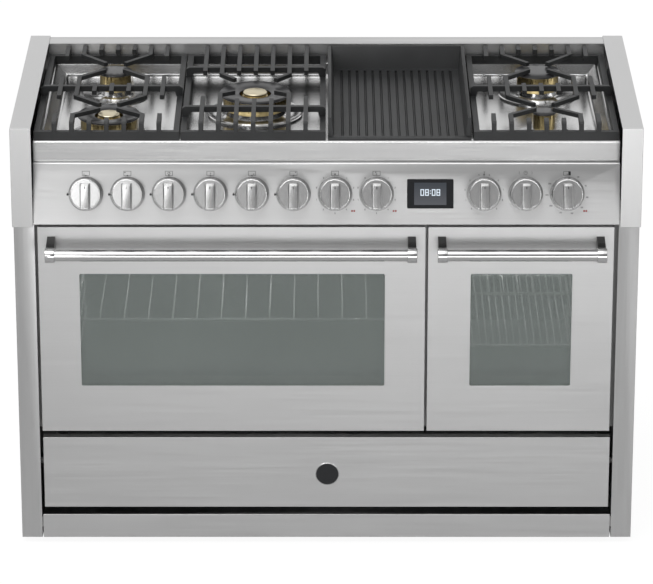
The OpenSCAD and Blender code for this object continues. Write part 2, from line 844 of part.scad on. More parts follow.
// Black caps on the small burners, and black rings on the wok burners
module burner_caps() {
  color(enamel_c) from_front() for (b = burners) {
    r = b[2];
    translate([b[0], b[1], crown_z1(b)]) rotate_extrude() polygon(b[3] == 1
      ? [[r * 0.45, 0], [r - 2, 0], [r, 2], [r, cap_t - 2], [r - 2.5, cap_t], [r * 0.62, cap_t - 0.8],
         [r * 0.45, cap_t - 4]]
      : [[0, 0], [r - 2, 0], [r, 2], [r, cap_t - 2.5], [r - 3, cap_t - 0.6], [r * 0.5, cap_t], [0, cap_t]]);
  }
}

// Brass centre caps of the wok burners
module wok_centre_caps() {
  color(brass_c) from_front() for (b = burners) {
    if (b[3] == 1) {
      r = b[2] * 0.34;
      translate([b[0], b[1], crown_z1(b) - 2]) rotate_extrude()
        polygon([[0, 0], [r - 3, 0], [r - 2, 3], [r, 4.5], [r, cap_t + 1], [r - 1.5, cap_t + 2.5],
                 [0, cap_t + 3]]);
    }
  }
}

// Ceramic spark plugs beside the burners
module spark_plugs() {
  color("white") from_front() for (b = burners) {
    translate([b[0], b[1], basin_z]) rotate([0, 0, plug_angle]) translate([plug_r(b), 0, 0])
      rotate_extrude() polygon([[0, 0], [plug_body_r, 0], [plug_body_r, plug_h],
        [plug_body_r - 1, plug_h + 2], [1, plug_h + 2], [1, plug_tip_h], [0, plug_tip_h]]);
  }
}

// Gas manifold: pipe behind the taps, and its run to the inlet at the back
module gas_manifold() {
  x1 = knob_xs[5] + manifold_over;
  color(alu_c) from_front() {
    rod_x(-shell_in + seat, x1, pipe_y, pipe_z, pipe_r);
    rod_y(pipe_y, inlet_end, inlet_x, pipe_z, pipe_r);
    rod_y(inlet_end - inlet_len, inlet_end, inlet_x, pipe_z, inlet_r);
    rod_y(back_sheet_y - 3 - seat, back_sheet_y - seat, inlet_x, pipe_z, pipe_r + 9);
  }
}

// Gas taps between the manifold and the panel
module gas_taps() {
  color(brass_c) from_front() for (k = [0:5]) {
    on_panel(knob_xs[k]) difference() {
      union() {
        translate([0, 0, tap_top - tap_len]) cylinder(h = tap_len, r = tap_r);
        translate([-tap_block_w / 2, -tap_r * 0.77, tap_top - tap_len])
          cube([tap_block_w, tap_r * 1.54, tap_block_h]);
        translate([0, 0, tap_top - tap_len * 0.7]) rotate([90, 0, 0])
          cylinder(h = tap_stub_len, r = tap_r * 0.38);
      }
      translate([0, 0, shaft_bottom - seat])
        cylinder(h = -shaft_bottom + 2 * seat, r = spindle_r + spindle_clear);
    }
  }
}

// Switches behind the electric knobs
module selector_switches() {
  color(black_c) from_front() for (k = [6:10]) {
    on_panel(knob_xs[k]) difference() {
      union() {
        translate([-switch_w / 2, -switch_w / 2, -sheet - seat - 4 - switch_h])
          cube([switch_w, switch_w, switch_h]);
        translate([0, 0, -sheet - seat - 6]) cylinder(h = 6, r = 11);
      }
      translate([0, 0, shaft_bottom - seat])
        cylinder(h = -shaft_bottom + 2 * seat, r = spindle_r + spindle_clear);
    }
  }
}

// Display: frame on the panel, screen recess and housing behind
module display_unit() {
  frame_t = 1.5;
  color(black_c) from_front() on_panel(display_x) difference() {
    union() {
      linear_extrude(frame_t) round_rect(-display_w / 2, display_w / 2, -display_h / 2, display_h / 2, 3);
      translate([0, 0, -22]) linear_extrude(22) square([display_w - 8 - 2 * seat, display_h - 8 - 2 * seat],
                                                       center = true);
    }
    translate([0, 0, frame_t - 0.6]) linear_extrude(2) round_rect(-31, 31, -21.5, 21.5, 1.5);
  }
}

// Runners of the drawer, carried by the side panels
module drawer_runners() {
  channel_x0 = box_x + 2;
  channel_x1 = box_x + tongue_w + runner_clear + runner_t;
  half_h = tongue_h / 2 + runner_clear;
  color(alu_c) from_front() for (side = [-1, 1]) {
    scale([side, 1, 1]) {
      along_y(front_back_y + 20, back_sheet_y - 12,
        [[channel_x0, runner_z - half_h - runner_t], [channel_x1, runner_z - half_h - runner_t],
         [channel_x1, runner_z + half_h + runner_t], [channel_x0, runner_z + half_h + runner_t],
         [channel_x0, runner_z + half_h], [channel_x1 - runner_t, runner_z + half_h],
         [channel_x1 - runner_t, runner_z - half_h], [channel_x0, runner_z - half_h]]);
      for (y = [setback + 70, back_sheet_y - 80]) {
        block(channel_x1 - seat, shell_in, y, y + 30, runner_z - 6, runner_z + 6);
      }
    }
  }
}

// Pan supports: frame, fingers and arms in cast iron
module finger(x, root, tip) {
  // A finger has its root on a bar and grows thinner to its free tip
  run = tip - root;
  along_x(x - finger_w / 2, x + finger_w / 2,
    [[root, frame_z1 - 5], [root, support_z - 3], [root + sign(run) * 3, support_z], [tip, support_z],
     [tip, support_z - 9], [root + run * 0.45, support_z - 14], [root + run * 0.2, frame_z1 - 5]]);
}

module crossing(x, y0, y1) {
  // A short bar that crosses a cross bar, free at both ends
  along_x(x - finger_w / 2, x + finger_w / 2,
    [[y0, support_z - 8], [y0, support_z], [y1, support_z], [y1, support_z - 8],
     [y1 - 12, support_z - 13], [y0 + 12, support_z - 13]]);
}

module arm(x0, y0, x1, y1) {
  run = norm([x1 - x0, y1 - y0]);
  translate([x0, y0, support_z - arm_h]) rotate([0, 0, atan2(y1 - y0, x1 - x0)])
    translate([-finger_w / 3, -finger_w / 2, 0]) cube([run + finger_w / 3, finger_w, arm_h - arm_step]);
}

module cross_bar(cx, y) {
  half = module_w / 2 - support_gap / 2;
  along_y(y - 5, y + 5, [[cx - half, frame_z1 - 5], [cx - half, support_z - 4], [cx - half + 6, support_z],
    [cx + half - 6, support_z], [cx + half, support_z - 4], [cx + half, frame_z1 - 5],
    [cx + half - frame_bar_w, frame_z1 - 5], [cx + half - frame_bar_w - 4, support_z - cross_h],
    [cx - half + frame_bar_w + 4, support_z - cross_h], [cx - half + frame_bar_w, frame_z1 - 5]]);
}

module support_frame(cx) {
  half = module_w / 2 - support_gap / 2;
  difference() {
    block(cx - half, cx + half, support_y0, support_y1, frame_z0, frame_z1);
    block(cx - half + frame_bar_w, cx + half - frame_bar_w, support_y0 + frame_bar_w,
          support_y1 - frame_bar_w, frame_z0 - past, frame_z1 + past);
  }
}

module double_support(cx) {
  cross_y = (burner_front_y + burner_rear_y) / 2 - 3;
  bend = 2;
  color(iron_c) from_front() {
    support_frame(cx);
    cross_bar(cx, cross_y);
    for (k = [-3:3]) {
      x = cx + k * finger_pitch;
      long = abs(k) > 1;
      finger(x, support_y0, long ? support_y0 + 54 : support_y0 + 27);
      finger(x, support_y1, abs(k) == 3 ? support_y1 - 74 : (long ? support_y1 - 62 : support_y1 - 32));
      crossing(x, cross_y - (long ? 62 : 34), cross_y + (long ? 62 : 16));
    }
    for (side = [-1, 1]) {
      x = cx + side * bend * finger_pitch;
      arm(x, support_y0 + 52, cx + side * 18, burner_front_y - 12);
      arm(x, cross_y - 60, cx + side * 18, burner_front_y + 15);
      arm(x, cross_y + 60, cx + side * 19, burner_rear_y - 22);
      arm(x, support_y1 - 60, cx + side * 19, burner_rear_y + 20);
    }
  }
}

module pan_support_left() {
  double_support(left_cx);
}

module pan_support_right() {
  double_support(right_cx);
}

module pan_support_middle() {
  front_bar = burner_mid_y - 140;
  rear_bar = burner_mid_y + 110;
  color(iron_c) from_front() {
    support_frame(mid_cx);
    cross_bar(mid_cx, front_bar);
    cross_bar(mid_cx, rear_bar);
    for (k = [-3:3]) {
      x = mid_cx + k * finger_pitch;
      finger(x, support_y0, abs(k) == 3 ? front_bar + 62 : (abs(k) == 2 ? front_bar + 86 : front_bar + 48));
      finger(x, support_y1, abs(k) == 2 ? rear_bar - 42 : rear_bar - 26);
    }
    for (side = [-1, 1]) {
      x = mid_cx + side * 2 * finger_pitch;
      arm(x, front_bar + 84, mid_cx + side * 40, front_bar + 100);
      arm(x, rear_bar - 40, mid_cx + side * 40, rear_bar - 74);
    }
  }
}

// Griddle: a cast tray with steep walls, a low front lip and a grooved floor
module griddle_plate() {
  wall = 6;
  front_z = ledge_z + griddle_lip_rise;
  lip_y = support_y0 + griddle_lip;
  floor_y0 = lip_y + 6;
  floor_y1 = support_y1 - 18;
  under_y0 = basin_y0 - 2;
  under_y1 = basin_y1 - 4;
  under_z = griddle_z - rib_h - griddle_t;
  left = griddle_x0;
  right = griddle_x1;
  foot = groove_w * 0.3;
  color(iron_c) from_front() difference() {
    union() {
      along_x(left, right, [[support_y0, frame_z0], [support_y0, front_z - 1], [support_y0 + 1, front_z],
        [lip_y, front_z], [lip_y + 10, support_z], [support_y1, support_z], [support_y1, frame_z0]]);
      along_x(left + 4, right - 4, [[under_y0, under_z], [lip_y - 2.5, frame_z0 + 1],
        [under_y1 + 3, frame_z0 + 1], [under_y1, under_z]]);
    }
    intersection() {
      along_x(left, right, [[floor_y0, griddle_z], [lip_y, front_z], [lip_y, rim_h],
        [support_y1 - 5, rim_h], [floor_y1, griddle_z]]);
      along_y(support_y0, support_y1, [[left + wall + griddle_draft, griddle_z], [left + wall, rim_h],
        [right - wall, rim_h], [right - wall - griddle_draft, griddle_z]]);
    }
    for (k = [0:rib_count]) {
      x = groove_x0 + k * rib_pitch;
      along_y(floor_y0 + 4, floor_y1 - 8, [[x - groove_w / 2, griddle_z + past], [x - foot, griddle_z - rib_h],
        [x + foot, griddle_z - rib_h], [x + groove_w / 2, griddle_z + past]]);
    }
  }
}

// Doors: outer panel, glass, liner, handle and hinge plates
function large_win() = [large_x0 + large_win_left, large_x1 - large_win_right];
function small_win() = [small_x0 + small_win_left, small_x1 - small_win_right];

module bracket_notch(x0, x1) {
  // Room for the fixed hinge brackets while the door turns
  for (x = [x0 + bracket_in, x1 - bracket_in - bracket_t]) {
    block(x - bracket_free, x + bracket_t + bracket_free, hinge_y - bracket_r - bracket_free,
          door_back_y + past, door_z0 - past, hinge_z + bracket_r + bracket_free);
  }
}

module door_panel(x0, x1, win) {
  color(steel_c) from_front() difference() {
    block(x0, x1, setback, setback + door_edge, door_z0, door_z1);
    block(x0 + skin, x1 - skin, setback + skin, setback + door_edge + past, door_z0 + skin, door_z1 - skin);
    round_block(win[0], win[1], setback - past, setback + skin + past, win_z0, win_z1, win_r);
    bracket_notch(x0, x1);
  }
}

module door_glass(win) {
  rim = 12;
  color(glass_c) from_front() {
    block(win[0] - rim, win[1] + rim, setback + skin, setback + skin + glass_t, win_z0 - rim, win_z1 + rim);
    block(win[0] - liner_win - rim, win[1] + liner_win + rim, door_back_y - skin - glass_t,
          door_back_y - skin, win_z0 - liner_win - rim, win_z1 + liner_win + rim);
  }
}

module door_liner(x0, x1, win) {
  inset = 0.5;
  color(steel_c) from_front() difference() {
    block(x0 + inset, x1 - inset, setback + door_edge, door_back_y, door_z0 + inset, door_z1 - inset);
    block(x0 + inset + skin, x1 - inset - skin, setback + door_edge - past, door_back_y - skin,
          door_z0 + inset + skin, door_z1 - inset - skin);
    round_block(win[0] - liner_win, win[1] + liner_win, door_back_y - skin - past, door_back_y + past,
                win_z0 - liner_win, win_z1 + liner_win, win_r);
    bracket_notch(x0, x1);
  }
}

module door_handle(x0, x1) {
  bar_z = door_z1 - bar_down;
  bar_y = setback - bar_out;
  edge = 1.5;
  tip = collar_r - 3;
  color(bright_c) from_front() {
    rod_x(x0 + bar_inset + collar_w / 2, x1 - bar_inset - collar_w / 2, bar_y, bar_z, bar_r);
    for (cx = [x0 + bar_inset + collar_w / 2, x1 - bar_inset - collar_w / 2]) {
      translate([cx - collar_w / 2, bar_y, bar_z]) rotate([0, 90, 0]) rotate_extrude()
        polygon([[0, 0], [collar_r - edge, 0], [collar_r, edge], [collar_r, collar_w - edge],
                 [collar_r - edge, collar_w], [0, collar_w]]);
      along_x(cx - post_w / 2, cx + post_w / 2, [[setback, bar_z + post_rise + post_h / 2],
        [bar_y + 2, bar_z + tip], [bar_y - 2, bar_z], [bar_y + 2, bar_z - tip],
        [setback, bar_z + post_rise - post_h / 2]]);
    }
  }
}

module door_hinges(x0, x1) {
  color(alu_c) from_front() difference() {
    for (x = [x0 + skin, x1 - skin - hinge_plate_t]) {
      block(x, x + hinge_plate_t, setback + skin, setback + door_edge, door_z0 + skin,
            door_z0 + skin + hinge_plate_h);
    }
    rod_x(x0, x1, hinge_y, hinge_z, hinge_r + hinge_clear);
  }
}

module large_door_panel() {
  door_panel(large_x0, large_x1, large_win());
}

module large_door_glass() {
  door_glass(large_win());
}

module large_door_liner() {
  door_liner(large_x0, large_x1, large_win());
}

module large_door_handle() {
  door_handle(large_x0, large_x1);
}

module large_door_hinges() {
  door_hinges(large_x0, large_x1);
}

module small_door_panel() {
  door_panel(small_x0, small_x1, small_win());
}

module small_door_glass() {
  door_glass(small_win());
}

module small_door_liner() {
  door_liner(small_x0, small_x1, small_win());
}

module small_door_handle() {
  door_handle(small_x0, small_x1);
}

module small_door_hinges() {
  door_hinges(small_x0, small_x1);
}

// Drawer: folded front, and the box behind it with its side tongues
module drawer_front() {
  color(steel_c) from_front() difference() {
    block(-drawer_x, drawer_x, setback, front_back_y, drawer_z0, drawer_z1);
    block(-drawer_x + skin, drawer_x - skin, box_y0, front_back_y + past, drawer_z0 + skin, drawer_z1 - skin);
  }
}

module drawer_box() {
  color(alu_c) from_front() {
    difference() {
      block(-box_x, box_x, box_y0, box_y1, box_z0, box_z1);
      block(-box_x + box_t, box_x - box_t, box_y0 + box_t, box_y1 - box_t, box_z0 + box_t, box_z1 + past);
    }
    for (side = [-1, 1]) {
      scale([side, 1, 1]) block(box_x - seat, box_x + tongue_w, front_back_y + 30, box_y1 - 4,
                                runner_z - tongue_h / 2, runner_z + tongue_h / 2);
    }
  }
}

// Knobs and spindles, drawn about their own axis on the panel
function grip_side(side, z, angles) =
  [for (a = angles) [side * (knob_grip_w / 2 + grip_cove * (1 - sin(a))), z + grip_cove * (1 - cos(a))]];

module knob_solid() {
  z1 = knob_gap + knob_body_h;
  half_w0 = knob_grip_w / 2;
  half_w1 = half_w0 + grip_cove;
  rotate_extrude() polygon([[0, knob_gap], [knob_r - 1.5, knob_gap], [knob_r, knob_gap + 1.5],
    [knob_face_r, z1 - 1.5], [knob_face_r - 1, z1], [0, z1]]);
  intersection() {
    translate([0, 0, z1 - seat]) cylinder(h = knob_grip_h + seat, r1 = knob_face_r - 0.8, r2 = knob_face_r - 2.5);
    along_y(-knob_r, knob_r, concat([[-half_w1, z1 - seat]], grip_side(-1, z1, [0:15:90]),
      [[-half_w0, knob_top - 2], [-half_w0 + 2, knob_top], [half_w0 - 2, knob_top], [half_w0, knob_top - 2]],
      grip_side(1, z1, [90:-15:0]), [[half_w1, z1 - seat]]));
    along_x(-knob_r, knob_r, [[-knob_r, z1 - 2 * seat], [grip_end, z1 - 2 * seat], [grip_end, z1],
      [grip_end - 4, knob_top + past], [-knob_r, knob_top + past]]);
  }
}

module spindle_solid() {
  // The upper end has a flat that the knob's bore follows
  difference() {
    translate([0, 0, shaft_bottom]) cylinder(h = shaft_top - shaft_bottom, r = spindle_r);
    translate([-spindle_r, spindle_r - shaft_flat, 0]) cube([2 * spindle_r, spindle_r, shaft_top + past]);
  }
}

module push_knob(k) {
  bore_h = shaft_top - knob_gap + push_travel + 1;
  color(bright_c) from_front() on_panel(knob_xs[k]) difference() {
    knob_solid();
    difference() {
      translate([0, 0, knob_gap - past]) cylinder(h = bore_h + past, r = spindle_r + spindle_clear);
      translate([-spindle_r - past, spindle_r - shaft_flat + spindle_clear, knob_gap - past])
        cube([2 * spindle_r + 2 * past, spindle_r, bore_h + 2 * past]);
    }
  }
}

module turn_knob(k) {
  color(bright_c) from_front() on_panel(knob_xs[k]) {
    knob_solid();
    translate([0, 0, shaft_bottom]) cylinder(h = knob_gap - shaft_bottom + past, r = spindle_r);
  }
}

module spindle(k) {
  color(alu_c) from_front() on_panel(knob_xs[k]) spindle_solid();
}

module gas_knob_1() {
  push_knob(0);
}

module gas_knob_2() {
  push_knob(1);
}

module gas_knob_3() {
  push_knob(2);
}

module gas_knob_4() {
  push_knob(3);
}

module gas_knob_5() {
  push_knob(4);
}

module gas_knob_6() {
  push_knob(5);
}

module griddle_knob_front() {
  turn_knob(6);
}

module griddle_knob_rear() {
  turn_knob(7);
}

module thermostat_knob() {
  turn_knob(8);
}

module timer_knob() {
  push_knob(9);
}

module function_knob() {
  turn_knob(10);
}

module gas_spindle_1() {
  spindle(0);
}

module gas_spindle_2() {
  spindle(1);
}

module gas_spindle_3() {
  spindle(2);
}

module gas_spindle_4() {
  spindle(3);
}

module gas_spindle_5() {
  spindle(4);
}

module gas_spindle_6() {
  spindle(5);
}

module timer_spindle() {
  spindle(9);
}

side_panel_left();
side_panel_right();
back_panel();
base_pan();
plinth();
feet();
hob_top();
control_panel();
oven_surround();
large_oven_cavity();
small_oven_cavity();
shelf_ladders();
oven_shelves();
heating_elements();
fan_covers();
door_seals();
burner_cups();
burner_crowns();
burner_caps();
wok_centre_caps();
spark_plugs();
gas_manifold();
gas_taps();
selector_switches();
display_unit();
drawer_runners();
pan_support_left();
pan_support_middle();
pan_support_right();
griddle_plate();
large_door_panel();
large_door_glass();
large_door_liner();
large_door_handle();
large_door_hinges();
small_door_panel();
small_door_glass();
small_door_liner();
small_door_handle();
small_door_hinges();
drawer_front();
drawer_box();
gas_knob_1();
gas_knob_2();
gas_knob_3();
gas_knob_4();
gas_knob_5();
gas_knob_6();
griddle_knob_front();
griddle_knob_rear();
thermostat_knob();
timer_knob();
function_knob();
gas_spindle_1();
gas_spindle_2();
gas_spindle_3();
gas_spindle_4();
gas_spindle_5();
gas_spindle_6();
timer_spindle();
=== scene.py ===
# Range cooker: the looks of each piece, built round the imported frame.
import json
import math
import bmesh
import bpy
import numpy as np
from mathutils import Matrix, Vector


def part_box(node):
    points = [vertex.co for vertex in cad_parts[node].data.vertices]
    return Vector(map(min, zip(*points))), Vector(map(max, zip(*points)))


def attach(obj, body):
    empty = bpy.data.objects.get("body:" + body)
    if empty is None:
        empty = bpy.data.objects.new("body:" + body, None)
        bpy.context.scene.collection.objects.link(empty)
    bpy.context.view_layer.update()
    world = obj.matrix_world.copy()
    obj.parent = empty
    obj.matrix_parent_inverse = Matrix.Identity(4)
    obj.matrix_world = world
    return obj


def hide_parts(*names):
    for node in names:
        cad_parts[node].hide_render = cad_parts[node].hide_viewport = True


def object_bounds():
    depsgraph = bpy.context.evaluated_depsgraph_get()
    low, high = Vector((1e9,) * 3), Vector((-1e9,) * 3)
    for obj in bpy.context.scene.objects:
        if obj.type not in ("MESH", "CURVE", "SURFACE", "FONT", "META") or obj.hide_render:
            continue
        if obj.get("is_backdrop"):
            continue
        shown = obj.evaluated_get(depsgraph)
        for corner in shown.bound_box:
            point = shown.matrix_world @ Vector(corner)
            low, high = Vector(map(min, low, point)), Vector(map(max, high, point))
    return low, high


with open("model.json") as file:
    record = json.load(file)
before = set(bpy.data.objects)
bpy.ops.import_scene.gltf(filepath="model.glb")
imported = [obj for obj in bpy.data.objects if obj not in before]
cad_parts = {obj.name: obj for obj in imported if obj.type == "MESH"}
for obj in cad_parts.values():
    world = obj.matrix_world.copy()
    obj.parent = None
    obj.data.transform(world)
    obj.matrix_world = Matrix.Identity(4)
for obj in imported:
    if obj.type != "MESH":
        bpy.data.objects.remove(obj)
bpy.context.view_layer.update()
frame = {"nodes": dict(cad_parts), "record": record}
nodes = frame["nodes"]
slotOf = {part["node"]: part["material_slot"] for part in frame["record"]["subparts"]}
bodyOf = {node: body for body, members in frame["record"]["behaviour"]["bodies"].items() for node in members}
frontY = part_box("side_panel_left")[0].y     # front of the cheeks beside the panel
print("frame loaded,", len(nodes), "nodes")


# Meshes from arrays

mergeGap = 1e-6                    # points closer than this are one
flatAngle = math.radians(0.3)      # faces that differ by less are one flat face
sharpAngle = 32                    # degrees, edges that turn more stay sharp


def gridFaces(countU, countV, closeV=False):
    # quads between neighbours of a countU x countV grid of points, closed round the first direction
    u, v = np.meshgrid(np.arange(countU), np.arange(countV if closeV else countV - 1), indexing="ij")
    u1, v1 = (u + 1) % countU, (v + 1) % countV
    return np.stack([u * countV + v, u1 * countV + v, u1 * countV + v1, u * countV + v1], -1).reshape(-1, 4)


def newMesh(name, parts):
    # one mesh of all the parts, each a pair of points and faces; the numbers in a face move on by the count
    # of the points before it
    points, faces, start = [], [], 0
    for partPoints, partFaces in parts:
        partPoints = np.asarray(partPoints, float).reshape(-1, 3)
        points.append(partPoints)
        faces += [[int(i) + start for i in face] for face in partFaces]
        start += len(partPoints)
    mesh = bpy.data.meshes.new(name)
    mesh.from_pydata(np.concatenate(points), [], faces)
    work = bmesh.new()
    work.from_mesh(mesh)
    bmesh.ops.remove_doubles(work, verts=work.verts, dist=mergeGap)
    bmesh.ops.recalc_face_normals(work, faces=work.faces)
    work.to_mesh(mesh)
    work.free()
    return mesh


def newPiece(name, mesh, material, body, stands=(), sharp=sharpAngle, sheet=False):
    # a sheet's open edges are marked sharp, so that its later thickness doesn't bend the shading
    mesh.shade_smooth()
    mesh.set_sharp_from_angle(angle=math.radians(sharp))
    if sheet:
        uses = {}
        for face in mesh.polygons:
            for key in face.edge_keys:
                uses[key] = uses.get(key, 0) + 1
        marked = mesh.attributes.get("sharp_edge") or mesh.attributes.new("sharp_edge", "BOOLEAN", "EDGE")
        flags = [marked.data[edge.index].value or uses.get(edge.key, 0) < 2 for edge in mesh.edges]
        marked.data.foreach_set("value", flags)
    mesh.materials.clear()
    for entry in material if isinstance(material, (list, tuple)) else [material]:
        mesh.materials.append(entry)
    piece = bpy.data.objects.new(name, mesh)
    bpy.context.scene.collection.objects.link(piece)
    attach(piece, body)
    if stands:
        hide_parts(*stands)
    return piece


def softCopy(node, material, bevel):
    # the node's own mesh, merged and with its flat faces joined, then its edges rounded
    mesh = nodes[node].data.copy()
    mesh.name = node + "_finished"
    work = bmesh.new()
    work.from_mesh(mesh)
    bmesh.ops.remove_doubles(work, verts=work.verts, dist=2 * mergeGap)
    bmesh.ops.dissolve_limit(work, angle_limit=flatAngle, verts=work.verts, edges=work.edges)
    work.to_mesh(mesh)
    work.free()
    piece = newPiece(node + "_finished", mesh, material, bodyOf[node], [node])
    rounding = piece.modifiers.new("edges", "BEVEL")
    rounding.width = bevel
    rounding.segments = 2
    rounding.limit_method = "ANGLE"
    rounding.angle_limit = math.radians(sharpAngle)
    rounding.harden_normals = True


def roundRect(x0, x1, y0, y1, radius, perCorner=6):
    # rectangle with quarter-circle corners: each point is a corner's centre plus radius times the cosine
    # and sine of an angle that runs on by a quarter turn from corner to corner
    angle = np.linspace(0, math.pi / 2, perCorner)
    radius = max(radius, mergeGap)
    corners = [(x1 - radius, y1 - radius, 0), (x0 + radius, y1 - radius, 1),
               (x0 + radius, y0 + radius, 2), (x1 - radius, y0 + radius, 3)]
    return np.concatenate([np.stack([cx + radius * np.cos(angle + turn * math.pi / 2),
                                     cy + radius * np.sin(angle + turn * math.pi / 2)], -1)
                           for cx, cy, turn in corners])


def rectLoft(loops, place, perCorner=6):
    # rounded rectangles (x0, x1, y0, y1, radius, depth) joined one to the next, with both ends closed;
    # place maps them to space
    rings = []
    for x0, x1, y0, y1, radius, depth in loops:
        flat = roundRect(x0, x1, y0, y1, radius, perCorner)
        rings.append(place(flat[:, 0], flat[:, 1], np.full(len(flat), depth)))
    points = np.stack(rings, 1)     # around, along
    around, along = points.shape[:2]
    faces = gridFaces(around, along).tolist()
    faces.append([u * along for u in range(around)])
    faces.append([u * along + along - 1 for u in range(around)])
    return points.reshape(-1, 3), faces


def revolved(profile, origin, axis, count=96, close=False):
    # profile of (radius, height) pairs turned about an axis: a point is the origin plus radius along a spoke
    # of the turn plus height along the axis; a radius of 0 closes at a pole
    axis = np.array(axis, float) / np.linalg.norm(axis)
    side = np.cross(axis, [0, 0, 1.0] if abs(axis[2]) < 0.9 else [1.0, 0, 0])
    side /= np.linalg.norm(side)
    other = np.cross(axis, side)
    turn = np.linspace(0, 2 * math.pi, count, endpoint=False)
    radius, height = np.array(profile, float).T
    spoke = np.cos(turn)[:, None] * side + np.sin(turn)[:, None] * other
    away, along = spoke[:, None, :] * radius[None, :, None], axis * height[None, :, None]
    points = np.array(origin, float) + away + along
    return points.reshape(-1, 3), gridFaces(count, len(profile), close).tolist()


def arc(cx, cy, radius, start, end, count=6):
    # circular arc from one angle to another, in degrees: centre plus radius times cosine and sine
    angle = np.radians(np.linspace(start, end, count))
    return list(zip(cx + radius * np.cos(angle), cy + radius * np.sin(angle)))


def swept(profile, x0, x1):
    # closed outline of (y, z) pairs drawn out along X, with both ends closed
    flat = np.array(profile, float)
    count = len(flat)
    ends = np.stack([np.column_stack([np.full(count, x), flat]) for x in (x0, x1)], 1)
    faces = gridFaces(count, 2).tolist()
    faces += [[u * 2 for u in range(count)], [u * 2 + 1 for u in range(count)]]
    return ends.reshape(-1, 3), faces


# Materials

def newMaterial(name, **sockets):
    # sockets are values for the shader's own inputs, with _ for a space
    material = bpy.data.materials.new(name)
    material.use_nodes = True
    tree = material.node_tree
    shader = tree.nodes["Principled BSDF"]
    for key, value in sockets.items():
        shader.inputs[key.replace("_", " ")].default_value = value
    return material, tree, shader


def addNode(tree, kind, **values):
    node = tree.nodes.new(kind)
    for key, value in values.items():
        setattr(node, key, value)
    return node


def noise(tree, scale, detail=2.0, roughness=0.5, seed=(0, 0, 0)):
    # 3-D noise on object coordinates, with its own scale along each axis
    coords = addNode(tree, "ShaderNodeTexCoord")
    mapping = addNode(tree, "ShaderNodeMapping")
    mapping.inputs["Scale"].default_value = scale
    mapping.inputs["Location"].default_value = seed
    texture = addNode(tree, "ShaderNodeTexNoise")
    texture.inputs["Scale"].default_value = 1.0
    texture.inputs["Detail"].default_value = detail
    texture.inputs["Roughness"].default_value = roughness
    tree.links.new(coords.outputs["Object"], mapping.inputs["Vector"])
    tree.links.new(mapping.outputs["Vector"], texture.inputs["Vector"])
    return texture.outputs["Fac"]


def ramp(tree, source, low, high, fromLow=0.3, fromHigh=0.7):
    # stretches a value between two limits
    node = addNode(tree, "ShaderNodeMapRange")
    node.inputs["From Min"].default_value = fromLow
    node.inputs["From Max"].default_value = fromHigh
    node.inputs["To Min"].default_value = low
    node.inputs["To Max"].default_value = high
    tree.links.new(source, node.inputs["Value"])
    return node.outputs["Result"]


def mixColour(tree, source, dark, light):
    # runs from dark to light as the value goes from 0 to 1
    node = addNode(tree, "ShaderNodeMix", data_type="RGBA")
    node.inputs["A"].default_value = (*dark, 1)
    node.inputs["B"].default_value = (*light, 1)
    tree.links.new(source, node.inputs["Factor"])
    return node.outputs["Result"]


def bump(tree, shader, source, strength, distance):
    # tilts the shading by the slope of a value, taken as a height of up to distance
    node = addNode(tree, "ShaderNodeBump")
    node.inputs["Strength"].default_value = strength
    node.inputs["Distance"].default_value = distance
    tree.links.new(source, node.inputs["Height"])
    tree.links.new(node.outputs["Normal"], shader.inputs["Normal"])


grainLook = {"lines": 0.6, "clouds": 0.4, "cloudSeed": (3.1, 1.7, 0.4), "glossLow": 0.85, "glossHigh": 1.2,
             "bump": 0.35}
castLook = {"cloudSize": 14, "dark": 0.8, "light": 1.2, "glossLow": 0.85, "glossHigh": 1.15, "bump": 0.5}


def grainedMetal(name, tone, rough, grain, bumpHeight=0.00004, spread=0.05, tint=(1, 1, 1), spots=2.5,
                 **sockets):
    # metal with fine lines along one axis: colour follows a share of the lines plus a share of broad soft
    # clouds, gloss and height follow the lines
    material, tree, shader = newMaterial(name, Metallic=1.0, **sockets)
    lines = noise(tree, grain, 3.0, 0.6)
    clouds = noise(tree, (spots,) * 3, 2.0, 0.5, grainLook["cloudSeed"])
    blend = addNode(tree, "ShaderNodeMath", operation="MULTIPLY_ADD")
    blend.inputs[1].default_value = grainLook["lines"]
    tree.links.new(lines, blend.inputs[0])
    share = addNode(tree, "ShaderNodeMath", operation="MULTIPLY")
    share.inputs[1].default_value = grainLook["clouds"]
    tree.links.new(clouds, share.inputs[0])
    tree.links.new(share.outputs[0], blend.inputs[2])
    dark = [tone * (1 - spread) * c for c in tint]
    light = [min(1, tone * (1 + spread)) * c for c in tint]
    colour = mixColour(tree, ramp(tree, blend.outputs[0], 0, 1), dark, light)
    tree.links.new(colour, shader.inputs["Base Color"])
    gloss = ramp(tree, lines, rough * grainLook["glossLow"], rough * grainLook["glossHigh"])
    tree.links.new(gloss, shader.inputs["Roughness"])
    bump(tree, shader, lines, grainLook["bump"], bumpHeight)
    return material


def castSurface(name, tone, rough, grainSize=900, height=0.00015, coat=0.0):
    # cast or enamelled surface: colour follows soft clouds, gloss and height follow fine grains
    material, tree, shader = newMaterial(name, Coat_Weight=coat, Coat_Roughness=0.2)
    grains = noise(tree, (grainSize,) * 3, 3.0, 0.6)
    clouds = noise(tree, (castLook["cloudSize"],) * 3, 2.0, 0.5)
    dark, light = [c * castLook["dark"] for c in tone], [c * castLook["light"] for c in tone]
    tree.links.new(mixColour(tree, ramp(tree, clouds, 0, 1), dark, light), shader.inputs["Base Color"])
    gloss = ramp(tree, grains, rough * castLook["glossLow"], min(1, rough * castLook["glossHigh"]))
    tree.links.new(gloss, shader.inputs["Roughness"])
    bump(tree, shader, grains, castLook["bump"], height)
    return material


